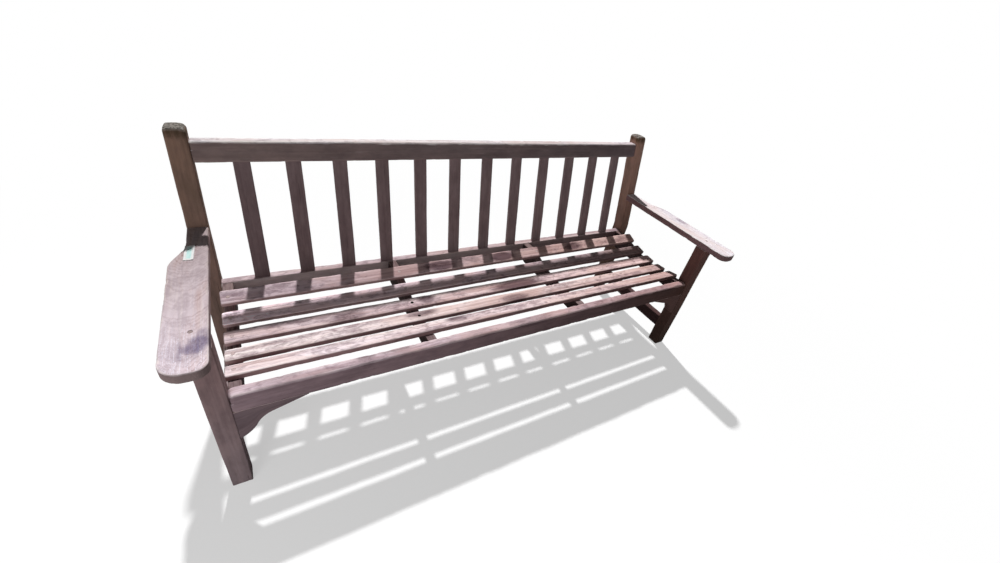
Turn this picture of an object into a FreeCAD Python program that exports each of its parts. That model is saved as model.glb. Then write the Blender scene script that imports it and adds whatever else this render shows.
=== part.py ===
"""A long slatted garden bench in teak: two end frames, three long rails, a dished seat and a raked back.

The origin lies on the floor under the middle of the bench. +X runs along the bench, the sitter faces -Y and
+Z is up. Lengths are in millimetres and angles in degrees.
"""
import FreeCAD, Part
import math
import os
import re
import Sketcher

# Driving sizes, each held by one cell of the sheet
SIZES = {
    # End frames
    "bench_length": 2004,
    "bench_height": 915,
    "leg_width": 57,
    "front_leg_depth": 55,
    "rear_leg_depth": 60.5,
    "leg_spacing": 500,
    "knee_rise": 19,
    "knee_radius": 160,
    "back_rake_angle": 12.4,
    "post_horn": 36.3,
    "post_inner_round": 14,
    "post_outer_round": 6,
    "foot_chamfer": 5,
    "arris_chamfer": 2,
    # Arms
    "arm_height": 624,
    "arm_thickness": 30,
    "arm_overhang": 98,
    "arm_swell": 39,
    "arm_neck_length": 100,
    "arm_curve_length": 115,
    "arm_nose_round": 48,
    "arm_corner_round": 30,
    "arm_edge_round": 5,
    "arm_under_chamfer": 3,
    "arm_tenon_width": 28,
    "arm_tenon_thickness": 14,
    "arm_tenon_length": 26,
    "leg_tenon_width": 30,
    "leg_tenon_depth": 28,
    "leg_tenon_length": 12,
    # Stretchers between the legs of an end frame
    "stretcher_low": 86,
    "stretcher_height": 63,
    "stretcher_thickness": 33,
    # Front rail and its brackets
    "front_rail_rise": 8,
    "front_rail_height": 68,
    "front_rail_thickness": 35,
    "front_rail_setback": 2,
    "front_rail_round": 8,
    "bracket_length": 193,
    "bracket_height": 118,
    "bracket_thickness": 30,
    "bracket_waist_along": 48,
    "bracket_waist_drop": 75,
    "bracket_throat_along": 92,
    "bracket_throat_drop": 33,
    "bracket_nose_radius": 105,
    "bracket_throat_radius": 75,
    "bracket_dowel_place": 62,
    "dowel_diameter": 10,
    "dowel_length": 48,
    # Rails of the back
    "lower_rail_rise": 26,
    "lower_rail_height": 72,
    "lower_rail_thickness": 31,
    "top_rail_height": 65,
    "top_rail_thickness": 36.5,
    "top_rail_recess": 5,
    "top_rail_front_round": 9,
    "top_rail_back_round": 4,
    # Tenons that the rails and stretchers share
    "tenon_length": 38,
    "tenon_thickness": 13,
    "tenon_shoulder": 9,
    # Slats of the back
    "back_slat_width": 49,
    "back_slat_thickness": 14,
    "back_slat_recess": 11,
    "back_slat_housing": 12,
    "back_slat_chamfer": 1.5,
    # Seat: slats laid in a hollow arc over four bearers
    "seat_low_height": 398,
    "dish_radius": 568,
    "dish_place": 210,
    "seat_middle_place": 40,
    "seat_slat_pitch": 78,
    "seat_slat_width": 54,
    "seat_slat_thickness": 19,
    "seat_slat_overhang": 7,
    "seat_slat_round": 4,
    "bearer_thickness": 33,
    "bearer_front_drop": 6,
    "left_bearer_place": 355,
    "right_bearer_place": 309,
    "bearer_tenon_rise": 24,
    "bearer_tenon_height": 30,
    "bearer_tenon_thickness": 13,
    "bearer_tenon_length": 13,
    # Screws and the wooden plugs over them
    "plug_diameter": 11,
    "plug_depth": 8,
    "screw_diameter": 4.5,
    "screw_head_diameter": 9,
    "screw_head_height": 3,
    "screw_length": 36,
    "arm_screw_out": 8,
    "arm_screw_back": 9,
    # Room in the joints
    "fit_gap": 0.15,
    "glue_room": 1,
}

# Places worked out from the sizes, in formula cells of the same sheet
PLACES = {
    "leg_middle": "bench_length / 2 - leg_width / 2",
    "leg_inner": "bench_length / 2 - leg_width",
    "inner_span": "bench_length - 2 * leg_width",
    "post_run": "(bench_height - knee_height) * tan(back_rake_angle)",
    "front_face": "(arm_overhang - leg_spacing - post_run - rear_leg_depth) / 2",
    "rear_face": "front_face + leg_spacing",
    "arm_low": "arm_height - arm_thickness",
    "post_face_under_arm": "leg_spacing + (arm_low - knee_height) * tan(back_rake_angle)",
    "post_face_over_arm": "leg_spacing + (arm_height - knee_height) * tan(back_rake_angle)",
    "arm_tenon_low": "(arm_thickness - arm_tenon_thickness) / 2",
    "front_rail_top": "seat_low_height + front_rail_rise",
    "front_rail_low": "front_rail_top - front_rail_height",
    "lower_rail_top": "seat_low_height + lower_rail_rise",
    "lower_rail_low": "lower_rail_top - lower_rail_height",
    "knee_height": "lower_rail_top + knee_rise",
    "top_rail_place": "(bench_height - knee_height) / cos(back_rake_angle) - post_horn - top_rail_height",
    "top_rail_slope": "top_rail_thickness * tan(back_rake_angle)",
    "stretcher_span": "leg_spacing - front_leg_depth",
    "back_slat_gap": "(inner_span - BACK_SLATS * back_slat_width) / (BACK_SLATS + 1)",
    "back_slat_pitch": "back_slat_gap + back_slat_width",
    "back_slat_first": "back_slat_gap + back_slat_width / 2 - inner_span / 2",
    "back_slat_foot": "(lower_rail_top - knee_height) / cos(back_rake_angle) - back_slat_housing",
    "back_slat_head": "top_rail_place + back_slat_housing",
    "dish_centre": "seat_low_height + dish_radius",
    "dish_line": "front_face + dish_place",
    "underside_radius": "dish_radius + seat_slat_thickness",
    "seat_slat_length": "inner_span + 2 * seat_slat_overhang",
    "middle_turn": "asin(seat_middle_place / dish_radius)",
    "pitch_turn": "asin(seat_slat_pitch / dish_radius)",
    "bearer_front": "front_rail_setback + front_rail_thickness - dish_place",
    "bearer_back": "leg_spacing - dish_place",
    "bearer_tenon_low": "front_rail_low + bearer_tenon_rise",
    "end_bearer_middle": "leg_inner - bearer_thickness / 2",
    "plug_bore": "plug_diameter + 2 * fit_gap",
    "screw_bore": "screw_diameter + 2 * fit_gap",
    "plug_length": "plug_depth - screw_head_height - fit_gap",
    "dowel_bore": "dowel_diameter + 2 * fit_gap",
    "dowel_depth": "dowel_length / 2 + glue_room / 2",
}

BACK_SLATS = 12
# Sides of the bores and pins that repeat, few because they are small and mostly hidden
PLUG_SIDES = 12
SHANK_SIDES = 8
# Bored from a face: a wide hole for the plug, then a narrow one that a screw's shank runs through
SCREW_BORES = (
    ("plug", "plug_bore", PLUG_SIDES, "plug_depth"),
    ("screw", "screw_bore", SHANK_SIDES, "plug_depth + screw_length"),
)
# Place of each seat slat round the dish, front to back, in pitches from the third from the front
SEAT_PLACE_SHARES = (-1.95, -0.99, 0.0, 1.0, 2.07)
LEFT, RIGHT = -1, 1
SIDE_NAMES = {LEFT: "left", RIGHT: "right"}
BEARERS = {
    "end_bearer_left": "-end_bearer_middle",
    "middle_bearer_left": "-left_bearer_place",
    "middle_bearer_right": "right_bearer_place",
    "end_bearer_right": "end_bearer_middle",
}

doc = FreeCAD.newDocument("garden_bench")
sheet = doc.addObject("Spreadsheet::Sheet", "sizes")
row = 0
for alias, size in SIZES.items():
    row += 1
    sheet.set(f"A{row}", alias)
    sheet.set(f"B{row}", str(size))
    sheet.setAlias(f"B{row}", alias)
for alias, formula in PLACES.items():
    row += 1
    sheet.set(f"A{row}", alias)
    sheet.set(f"B{row}", "=" + formula.replace("BACK_SLATS", str(BACK_SLATS)))
    sheet.setAlias(f"B{row}", alias)
doc.recompute()
ALIASES = set(SIZES) | set(PLACES)
nodes = []


def cells(text):
    """The expression with each of its words that is an alias pointed at its cell."""
    return re.sub(r"[a-z_]+", lambda word: "sizes." + word[0] if word[0] in ALIASES else word[0], text)


def number(text):
    """What an expression gives with the sizes as they are."""
    return float(sheet.evalExpression(cells(text)))


def placing(x, y, z, axis, turn):
    """The expression of a place and a turn about one axis."""
    return cells(f"placement(vector({x};{y};{z});rotation(vector({axis});{turn}))")


def body(name, x="0", y="0", z="0", tilt="0"):
    """A new named piece at a place of its own, tilted about the bench's long axis."""
    piece = doc.addObject("PartDesign::Body", name)
    piece.Label = name
    piece.setExpression("Placement", placing(x, y, z, "1;0;0", tilt))
    nodes.append(piece)
    return piece


def sketch(piece, name, plane, offset="0", along="0", up="0", turn="0"):
    """An empty sketch on a plane of the piece, moved off it, along it and up it, and turned in it."""
    flat = piece.newObject("Sketcher::SketchObject", name)
    support = next(item for item in piece.Origin.OriginFeatures if item.Role == plane)
    flat.AttachmentSupport = (support, [""])
    flat.MapMode = "FlatFace"
    flat.setExpression("AttachmentOffset", placing(along, up, offset, "0;0;1", turn))
    return flat


def pin(flat, curve, tip, across, up):
    """Hold one point of a sketch at two expressions measured from the sketch's origin."""
    for kind, axis, text in (("DistanceX", -2, across), ("DistanceY", -1, up)):
        if abs(number(text)) < Part.Precision.confusion():
            flat.addConstraint(Sketcher.Constraint("PointOnObject", curve, tip, axis))
        else:
            held = flat.addConstraint(Sketcher.Constraint(kind, -1, 1, curve, tip, number(text)))
            flat.setExpression(f"Constraints[{held}]", cells(text))


def arc_between(start, end, radius, side):
    """The short arc from start to end, its centre to the left of the way (side 1) or the right (side -1)."""
    chord = end - start
    rise = math.sqrt(radius**2 - (chord.Length / 2)**2)
    left = FreeCAD.Vector(-chord.y, chord.x, 0).normalize()
    centre = (start + end) / 2 + left * side * rise
    first, last = (start, end) if side > 0 else (end, start)
    circle = Part.Circle(centre, FreeCAD.Vector(0, 0, 1), radius)
    return Part.ArcOfCircle(circle, circle.parameter(first), circle.parameter(last))


def outline(flat, corners):
    """A closed outline. A corner is (across, up), or (across, up, radius, side) where an arc leads on."""
    points = [FreeCAD.Vector(number(corner[0]), number(corner[1]), 0) for corner in corners]
    count = len(corners)
    tips = []
    first = flat.GeometryCount
    for k, corner in enumerate(corners):
        start, end = points[k], points[(k + 1) % count]
        if len(corner) == 2:
            flat.addGeometry(Part.LineSegment(start, end), False)
            tips.append((1, 2))
        else:
            flat.addGeometry(arc_between(start, end, number(corner[2]), corner[3]), False)
            tips.append((1, 2) if corner[3] > 0 else (2, 1))
    for k, corner in enumerate(corners):
        after = (k + 1) % count
        meeting = Sketcher.Constraint("Coincident", first + k, tips[k][1], first + after, tips[after][0])
        flat.addConstraint(meeting)
        pin(flat, first + k, tips[k][0], corner[0], corner[1])
        if len(corner) > 2:
            held = flat.addConstraint(Sketcher.Constraint("Radius", first + k, number(corner[2])))
            flat.setExpression(f"Constraints[{held}]", cells(corner[2]))


def rectangle(across_low, up_low, across_high, up_high):
    """The corners of an upright rectangle."""
    return [(across_low, up_low), (across_high, up_low), (across_high, up_high), (across_low, up_high)]


def ring(flat, across, up, diameter, sides):
    """A small round bore's mouth, drawn as an even polygon about its centre."""
    turns = [f"(360 * {k} / {sides})" for k in range(sides)]
    outline(flat, [(f"{across} + {diameter} / 2 * cos({turn})", f"{up} + {diameter} / 2 * sin({turn})")
                   for turn in turns])


def settled(piece, feature):
    """The feature once the document is worked out, or a stop that names it where it failed."""
    doc.recompute()
    if "Invalid" in feature.State:
        raise RuntimeError(f"{piece.Label}: {feature.Label} failed")
    return feature


def extrude(piece, kind, name, flat, length, way):
    """A pad or pocket of a sketch: way 1 goes with the plane's normal, -1 against it, and 0 to both sides."""
    feature = piece.newObject("PartDesign::" + kind, name)
    feature.Profile = flat
    feature.setExpression("Length", cells(length))
    if way == 0:
        feature.SideType = "Symmetric"
    else:
        feature.Reversed = (way < 0) == (kind == "Pad")
    return settled(piece, feature)


def pad(piece, name, flat, length, way=1):
    """Add a sketch's area, drawn out, to the piece."""
    return extrude(piece, "Pad", name, flat, length, way)


def pocket(piece, name, flat, length, way):
    """Cut a sketch's area, drawn out, from the piece, and make sure that it cut."""
    before = piece.Shape.Volume
    feature = extrude(piece, "Pocket", name, flat, length, way)
    if piece.Shape.Volume > before - Part.Precision.confusion():
        raise RuntimeError(f"{piece.Label}: {name} cut nothing")
    return feature


def dress(piece, kind, name, size, wanted):
    """Fillet or chamfer those edges of the piece that pass the test."""
    base = piece.Tip
    edges = [f"Edge{k}" for k, edge in enumerate(base.Shape.Edges, 1) if wanted(edge)]
    feature = piece.newObject("PartDesign::" + kind, name)
    feature.Base = (base, edges)
    feature.setExpression("Radius" if kind == "Fillet" else "Size", cells(size))
    return settled(piece, feature)


def runs(edge, axis):
    """Whether an edge is straight and parallel to an axis, given as 0, 1 or 2."""
    if not isinstance(edge.Curve, Part.Line):
        return False
    way = edge.Curve.Direction
    return abs(abs(way[axis]) - 1) < Part.Precision.confusion()


def at(edge, axis, place):
    """Whether the middle of an edge lies at an expression along an axis."""
    return abs(edge.CenterOfMass[axis] - number(place)) < number("fit_gap")


def front_leg(side):
    """A square leg, mortised for the front rail and the stretcher, with a stub tenon up into the arm."""
    leg = body(f"front_leg_{SIDE_NAMES[side]}", f"{side} * leg_middle", "front_face")
    flat = sketch(leg, "leg_section", "XY_Plane")
    outline(flat, rectangle("-leg_width / 2", "0", "leg_width / 2", "front_leg_depth"))
    pad(leg, "leg", flat, "arm_low")
    dress(leg, "Chamfer", "foot", "foot_chamfer", lambda edge: at(edge, 2, "0"))
    dress(leg, "Chamfer", "arrises", "arris_chamfer", lambda edge: runs(edge, 2))
    flat = sketch(leg, "tenon_section", "XY_Plane", offset="arm_low")
    outline(flat, leg_tenon("0"))
    pad(leg, "tenon", flat, "leg_tenon_length")
    rail_middle = "(front_rail_setback + front_rail_thickness / 2)"
    rail_mortise(leg, side, rail_middle, "front_rail_low", "front_rail_top")
    flat = sketch(leg, "stretcher_mortise_mouth", "XZ_Plane", offset="-front_leg_depth")
    outline(flat, stretcher_tenon("fit_gap", "stretcher_low"))
    pocket(leg, "stretcher_mortise", flat, "tenon_length + glue_room", 1)
    flat = sketch(leg, "screw_centre", "XY_Plane", offset="arm_low + leg_tenon_length")
    ring(flat, f"{side} * arm_screw_out", "front_leg_depth / 2 + arm_screw_back", "screw_bore", SHANK_SIDES)
    pocket(leg, "screw_hole", flat, "screw_length", -1)
    flat = sketch(leg, "dowel_centre", "YZ_Plane", offset=f"{-side} * leg_width / 2")
    ring(flat, "front_rail_setback + bracket_thickness / 2", "front_rail_low - bracket_dowel_place",
         "dowel_bore", PLUG_SIDES)
    pocket(leg, "dowel_hole", flat, "dowel_depth", side)


def leg_tenon(room):
    """The section of the stub tenon on top of a front leg, or with room round it the mouth of its mortise."""
    return rectangle(f"-leg_tenon_width / 2 - {room}", f"(front_leg_depth - leg_tenon_depth) / 2 - {room}",
                     f"leg_tenon_width / 2 + {room}", f"(front_leg_depth + leg_tenon_depth) / 2 + {room}")


def rail_mortise(leg, side, middle, low, high):
    """A blind mortise in a leg's inner face for the tenon of an upright rail."""
    flat = sketch(leg, "rail_mortise_mouth", "YZ_Plane", offset=f"{-side} * leg_width / 2")
    half = "(tenon_thickness / 2 + fit_gap)"
    outline(flat, rectangle(f"{middle} - {half}", f"{low} + tenon_shoulder - fit_gap",
                            f"{middle} + {half}", f"{high} - tenon_shoulder + fit_gap"))
    pocket(leg, "rail_mortise", flat, "tenon_length + glue_room", side)


def stretcher_tenon(room, low):
    """The section of a stretcher's tenon, or with room round it the mouth of its mortise."""
    return rectangle(f"-tenon_thickness / 2 - {room}", f"{low} + tenon_shoulder - {room}",
                     f"tenon_thickness / 2 + {room}", f"{low} + stretcher_height - tenon_shoulder + {room}")


def rear_post(side):
    """A leg that turns into the raked post of the back at its knee, sawn from one plank."""
    post = body(f"rear_post_{SIDE_NAMES[side]}", f"{side} * leg_middle", "rear_face")
    flat = sketch(post, "side_view", "YZ_Plane")
    outline(flat, [("0", "0"), ("rear_leg_depth", "0"), ("rear_leg_depth", "knee_height"),
                   ("rear_leg_depth + post_run", "bench_height"), ("post_run", "bench_height"),
                   ("0", "knee_height")])
    pad(post, "plank", flat, "leg_width", 0)
    dress(post, "Fillet", "knee", "knee_radius", lambda edge: runs(edge, 0) and at(edge, 2, "knee_height"))
    shoulders = {"inner_shoulder": (-side, "post_inner_round"), "outer_shoulder": (side, "post_outer_round")}
    for name, (sign, size) in shoulders.items():
        dress(post, "Fillet", name, size,
              lambda edge: at(edge, 2, "bench_height") and at(edge, 0, f"{sign} * leg_width / 2"))
    dress(post, "Chamfer", "foot", "foot_chamfer", lambda edge: at(edge, 2, "0"))
    rail_mortise(post, side, "lower_rail_thickness / 2", "lower_rail_low", "lower_rail_top")
    flat = sketch(post, "top_rail_mortise_mouth", "YZ_Plane", offset=f"{-side} * leg_width / 2",
                  up="knee_height", turn="-back_rake_angle")
    outline(flat, top_rail_tenon("fit_gap"))
    pocket(post, "top_rail_mortise", flat, "tenon_length + glue_room", side)
    flat = sketch(post, "stretcher_mortise_mouth", "XZ_Plane")
    outline(flat, stretcher_tenon("fit_gap", "stretcher_low"))
    pocket(post, "stretcher_mortise", flat, "tenon_length + glue_room", -1)
    flat = sketch(post, "arm_mortise_side", "YZ_Plane")
    outline(flat, rectangle("0", "arm_low + arm_tenon_low - fit_gap",
                            "post_face_over_arm - leg_spacing + arm_tenon_length + glue_room",
                            "arm_low + arm_tenon_low + arm_tenon_thickness + fit_gap"))
    pocket(post, "arm_mortise", flat, "arm_tenon_width + 2 * fit_gap", 0)


def top_rail_tenon(room):
    """The section of the top rail's tenon along the rake, or with room round it the mouth of its mortise."""
    middle = "top_rail_recess + top_rail_thickness / 2"
    return rectangle(f"{middle} - tenon_thickness / 2 - {room}", f"top_rail_place + tenon_shoulder - {room}",
                     f"{middle} + tenon_thickness / 2 + {room}",
                     f"top_rail_place + top_rail_height - tenon_shoulder + {room}")


def arm(side):
    """An arm that leaves the post as a neck, swells outwards in an S and ends in a rounded nose."""
    rest = body(f"arm_{SIDE_NAMES[side]}", f"{side} * leg_middle", "front_face", "arm_low")
    inner, outer = f"{-side} * leg_width / 2", f"{side} * leg_width / 2"
    swollen = f"{side} * (leg_width / 2 + arm_swell)"
    halfway = f"{side} * (leg_width / 2 + arm_swell / 2)"
    curve_end = "(post_face_over_arm - arm_neck_length)"
    curve_radius = "(arm_swell * arm_swell + arm_curve_length * arm_curve_length) / (4 * arm_swell)"
    flat = sketch(rest, "plan", "XY_Plane")
    outline(flat, [
        (inner, "post_face_over_arm"),
        (inner, "arm_nose_round - arm_overhang", "arm_nose_round", side),
        (f"{side} * (arm_nose_round - leg_width / 2)", "-arm_overhang"),
        (f"{side} * (leg_width / 2 + arm_swell - arm_corner_round)", "-arm_overhang",
         "arm_corner_round", side),
        (swollen, "arm_corner_round - arm_overhang"),
        (swollen, f"{curve_end} - arm_curve_length", curve_radius, side),
        (halfway, f"{curve_end} - arm_curve_length / 2", curve_radius, -side),
        (outer, curve_end),
        (outer, "post_face_over_arm"),
    ])
    pad(rest, "board", flat, "arm_thickness")
    for kind, name, size, z in (("Fillet", "upper_edge", "arm_edge_round", "arm_thickness"),
                                ("Chamfer", "lower_edge", "arm_under_chamfer", "0")):
        dress(rest, kind, name, size, lambda edge: at(edge, 2, z) and not at(edge, 1, "post_face_over_arm"))
    flat = sketch(rest, "butt_side", "YZ_Plane")
    outline(flat, [("post_face_under_arm", "0"), ("post_face_over_arm + arm_edge_round", "0"),
                   ("post_face_over_arm + arm_edge_round", "arm_thickness"),
                   ("post_face_over_arm", "arm_thickness")])
    pocket(rest, "butt", flat, "2 * leg_width + 2 * arm_swell", 0)
    flat = sketch(rest, "tenon_side", "YZ_Plane")
    outline(flat, rectangle("post_face_under_arm - arm_edge_round", "arm_tenon_low",
                            "post_face_over_arm + arm_tenon_length", "arm_tenon_low + arm_tenon_thickness"))
    pad(rest, "tenon", flat, "arm_tenon_width", 0)
    flat = sketch(rest, "leg_mortise_mouth", "XY_Plane")
    outline(flat, leg_tenon("fit_gap"))
    pocket(rest, "leg_mortise", flat, "leg_tenon_length + glue_room", 1)
    for name, bore, sides, depth in SCREW_BORES:
        flat = sketch(rest, name + "_centre", "XY_Plane", offset="arm_thickness")
        ring(flat, f"{side} * arm_screw_out", "front_leg_depth / 2 + arm_screw_back", bore, sides)
        pocket(rest, name + "_hole", flat, depth, -1)


def side_stretcher(side):
    """The low rail from the front leg to the rear leg of one end frame."""
    rail = body(f"side_stretcher_{SIDE_NAMES[side]}", f"{side} * leg_middle", "front_face + front_leg_depth",
                "stretcher_low")
    flat = sketch(rail, "section", "XZ_Plane")
    outline(flat, rectangle("-stretcher_thickness / 2", "0", "stretcher_thickness / 2", "stretcher_height"))
    pad(rail, "rail", flat, "stretcher_span", -1)
    dress(rail, "Chamfer", "arrises", "arris_chamfer", lambda edge: runs(edge, 1))
    flat = sketch(rail, "tenon_section", "XZ_Plane", offset="tenon_length")
    outline(flat, stretcher_tenon("0", "0"))
    pad(rail, "tenons", flat, "stretcher_span + 2 * tenon_length", -1)


def upright_rail(name, y, low, high, thickness):
    """A long upright rail between the end frames, with a tenon at each end."""
    rail = body(name, "0", y)
    flat = sketch(rail, "section", "YZ_Plane")
    outline(flat, rectangle("0", low, thickness, high))
    pad(rail, "rail", flat, "inner_span", 0)
    dress(rail, "Chamfer", "arrises", "arris_chamfer", lambda edge: runs(edge, 0) and at(edge, 2, low))
    flat = sketch(rail, "tenon_section", "YZ_Plane")
    outline(flat, rectangle(f"({thickness} - tenon_thickness) / 2", f"{low} + tenon_shoulder",
                            f"({thickness} + tenon_thickness) / 2", f"{high} - tenon_shoulder"))
    pad(rail, "tenons", flat, "inner_span + 2 * tenon_length", 0)
    return rail


def bearer_mortises(rail, offset, way):
    """Four blind mortises for the stub tenons of the seat bearers."""
    flat = sketch(rail, "bearer_mortise_mouths", "XZ_Plane", offset=offset)
    half = "(bearer_tenon_thickness / 2 + fit_gap)"
    for middle in BEARERS.values():
        outline(flat, rectangle(f"{middle} - {half}", "bearer_tenon_low - fit_gap",
                                f"{middle} + {half}", "bearer_tenon_low + bearer_tenon_height + fit_gap"))
    pocket(rail, "bearer_mortises", flat, "bearer_tenon_length + glue_room", way)


def front_rail():
    """The front rail, with its upper front edge rounded over and its underside doweled to the brackets."""
    rail = upright_rail("front_rail", "front_face + front_rail_setback", "front_rail_low", "front_rail_top",
                        "front_rail_thickness")
    top_edges = {"front_round": ("front_rail_round", "0"),
                 "back_round": ("arris_chamfer", "front_rail_thickness")}
    for name, (size, y) in top_edges.items():
        dress(rail, "Fillet", name, size,
              lambda edge: runs(edge, 0) and at(edge, 2, "front_rail_top") and at(edge, 1, y))
    bearer_mortises(rail, "-front_rail_thickness", 1)
    flat = sketch(rail, "dowel_centres", "XY_Plane", offset="front_rail_low")
    for side in (LEFT, RIGHT):
        ring(flat, f"{side} * (leg_inner - bracket_dowel_place)", "bracket_thickness / 2", "dowel_bore",
             PLUG_SIDES)
    pocket(rail, "dowel_holes", flat, "dowel_depth", 1)


def slat_row(rail, name, mortise):
    """Repeat the first slat's housing along a rail, once for each slat of the back."""
    row_of = rail.newObject("PartDesign::LinearPattern", name)
    row_of.Originals = [mortise]
    axis = next(item for item in rail.Origin.OriginFeatures if item.Role == "X_Axis")
    row_of.Direction = (axis, [""])
    row_of.setExpression("Length", cells(f"back_slat_pitch * {BACK_SLATS - 1}"))
    row_of.Occurrences = BACK_SLATS
    rail.Tip = row_of
    settled(rail, row_of)


def slat_housing(rail, up, low, high):
    """The housing of the first slat of the back, cut along the rake and square to it."""
    flat = sketch(rail, "slat_housing_side", "YZ_Plane", offset="back_slat_first", up=up,
                  turn="-back_rake_angle" if up != "0" else "0")
    outline(flat, rectangle("back_slat_recess - fit_gap", low,
                            "back_slat_recess + back_slat_thickness + fit_gap", high))
    mortise = pocket(rail, "slat_housing", flat, "back_slat_width + 2 * fit_gap", 0)
    slat_row(rail, "slat_housings", mortise)


def lower_back_rail():
    """The rail behind the seat: it takes the bearers in front and the raked slats of the back on top."""
    rail = upright_rail("lower_back_rail", "rear_face", "lower_rail_low", "lower_rail_top",
                        "lower_rail_thickness")
    bearer_mortises(rail, "0", -1)
    slat_housing(rail, "knee_height", "back_slat_foot", "back_slat_foot + 4 * back_slat_housing")


def top_rail():
    """The raked rail on top of the back, planed level and rounded on top, with the slats housed below."""
    rail = body("top_rail", "0", "rear_face", "knee_height", "-back_rake_angle")
    front, back = "top_rail_recess", "top_rail_recess + top_rail_thickness"
    front_top = "top_rail_place + top_rail_height"
    flat = sketch(rail, "section", "YZ_Plane")
    outline(flat, [(front, "top_rail_place"), (back, "top_rail_place"),
                   (back, f"{front_top} + top_rail_slope"), (front, front_top)])
    pad(rail, "rail", flat, "inner_span", 0)
    top_edges = {"back_round": ("top_rail_back_round", f"{front_top} + top_rail_slope", back),
                 "front_round": ("top_rail_front_round", front_top, front)}
    for name, (size, z, y) in top_edges.items():
        dress(rail, "Fillet", name, size, lambda edge: runs(edge, 0) and at(edge, 2, z) and at(edge, 1, y))
    dress(rail, "Chamfer", "lower_edges", "arris_chamfer",
          lambda edge: runs(edge, 0) and at(edge, 2, "top_rail_place"))
    flat = sketch(rail, "tenon_section", "YZ_Plane")
    outline(flat, top_rail_tenon("0"))
    pad(rail, "tenons", flat, "inner_span + 2 * tenon_length", 0)
    slat_housing(rail, "0", "top_rail_place - back_slat_housing", "back_slat_head + glue_room")


def back_slat(k):
    """One flat slat of the back, housed in the lower rail and the top rail."""
    slat = body(f"back_slat_{k + 1:02d}", f"back_slat_first + back_slat_pitch * {k}", "rear_face",
                "knee_height", "-back_rake_angle")
    flat = sketch(slat, "front_view", "XZ_Plane", offset="-back_slat_recess")
    outline(flat, rectangle("-back_slat_width / 2", "back_slat_foot",
                            "back_slat_width / 2", "back_slat_head"))
    pad(slat, "board", flat, "back_slat_thickness", -1)
    dress(slat, "Chamfer", "arrises", "back_slat_chamfer", lambda edge: runs(edge, 2))


def slat_turn(share):
    """How far round the dish a seat slat lies from the dish's lowest line."""
    return f"(middle_turn + {share} * pitch_turn)"


def seat_corner(share, end):
    """The lower front (end -1) or lower back (end 1) corner of a seat slat, from the centre of the dish."""
    turn = slat_turn(share)
    return (f"underside_radius * sin({turn}) + {end} * seat_slat_width / 2 * cos({turn})",
            f"{end} * seat_slat_width / 2 * sin({turn}) - underside_radius * cos({turn})")


def seat_bearer(name, x):
    """A bearer across the seat, its top planed to a flat under each slat, with a stub tenon at each end."""
    bearer = body(name, x, "dish_line", "dish_centre")
    low = "front_rail_low - dish_centre"
    top = [seat_corner(share, end) for share in SEAT_PLACE_SHARES for end in (-1, 1)]
    flat = sketch(bearer, "side_view", "YZ_Plane")
    outline(flat, [("bearer_back", "lower_rail_low - dish_centre"),
                   ("bearer_back", "lower_rail_top - dish_centre"),
                   *reversed(top), ("bearer_front", "front_rail_top - bearer_front_drop - dish_centre"),
                   ("bearer_front", low), ("bearer_back - bearer_thickness", low)])
    pad(bearer, "board", flat, "bearer_thickness", 0)
    flat = sketch(bearer, "tenon_sides", "YZ_Plane")
    for shoulder in ("bearer_front", "bearer_back"):
        outline(flat, rectangle(f"{shoulder} - bearer_tenon_length", "bearer_tenon_low - dish_centre",
                                f"{shoulder} + bearer_tenon_length",
                                "bearer_tenon_low + bearer_tenon_height - dish_centre"))
    pad(bearer, "tenons", flat, "bearer_tenon_thickness", 0)
    for k, share in enumerate(SEAT_PLACE_SHARES, 1):
        flat = sketch(bearer, f"screw_centre_{k}", "XY_Plane")
        flat.setExpression("AttachmentOffset", placing("0", "0", "0", "1;0;0", slat_turn(share)))
        ring(flat, "0", "0", "screw_bore", SHANK_SIDES)
        pocket(bearer, f"screw_hole_{k}", flat, "dish_radius + plug_depth + screw_length + glue_room", -1)


def seat_slat(k, share):
    """One seat slat, tangent to the dish, bored for a plugged screw over each bearer."""
    slat = body(f"seat_slat_{k}", "0", "dish_line", "dish_centre", slat_turn(share))
    flat = sketch(slat, "section", "YZ_Plane")
    outline(flat, rectangle("-seat_slat_width / 2", "-underside_radius",
                            "seat_slat_width / 2", "-dish_radius"))
    pad(slat, "board", flat, "seat_slat_length", 0)
    dress(slat, "Fillet", "upper_edges", "seat_slat_round",
          lambda edge: runs(edge, 0) and at(edge, 2, "-dish_radius"))
    for name, bore, sides, depth in SCREW_BORES:
        flat = sketch(slat, name + "_centres", "XY_Plane", offset="-dish_radius")
        for x in BEARERS.values():
            ring(flat, x, "0", bore, sides)
        pocket(slat, name + "_holes", flat, depth, -1)


def rod(name, diameter, sides, length, place):
    """A slim round pin that stands up from its place."""
    bar = doc.addObject("Part::Prism", name)
    bar.Polygon = sides
    bar.setExpression("Circumradius", cells(f"{diameter} / 2"))
    bar.setExpression("Height", cells(length))
    bar.setExpression("Placement", place)
    return bar


def group(name, pieces):
    """Separate like pieces kept together as one node."""
    bunch = doc.addObject("Part::Compound", name)
    bunch.Label = name
    bunch.Links = pieces
    nodes.append(bunch)


def screw(name, place_at):
    """A round-head wood screw: place_at gives the placement for a depth below the timber's face."""
    head = rod(name + "_head", "screw_head_diameter", PLUG_SIDES, "screw_head_height", place_at("plug_depth"))
    shank = rod(name + "_shank", "screw_diameter", SHANK_SIDES, "screw_length",
                place_at("plug_depth + screw_length"))
    whole = doc.addObject("Part::Fuse", name)
    whole.Base = head
    whole.Tool = shank
    return whole


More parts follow.
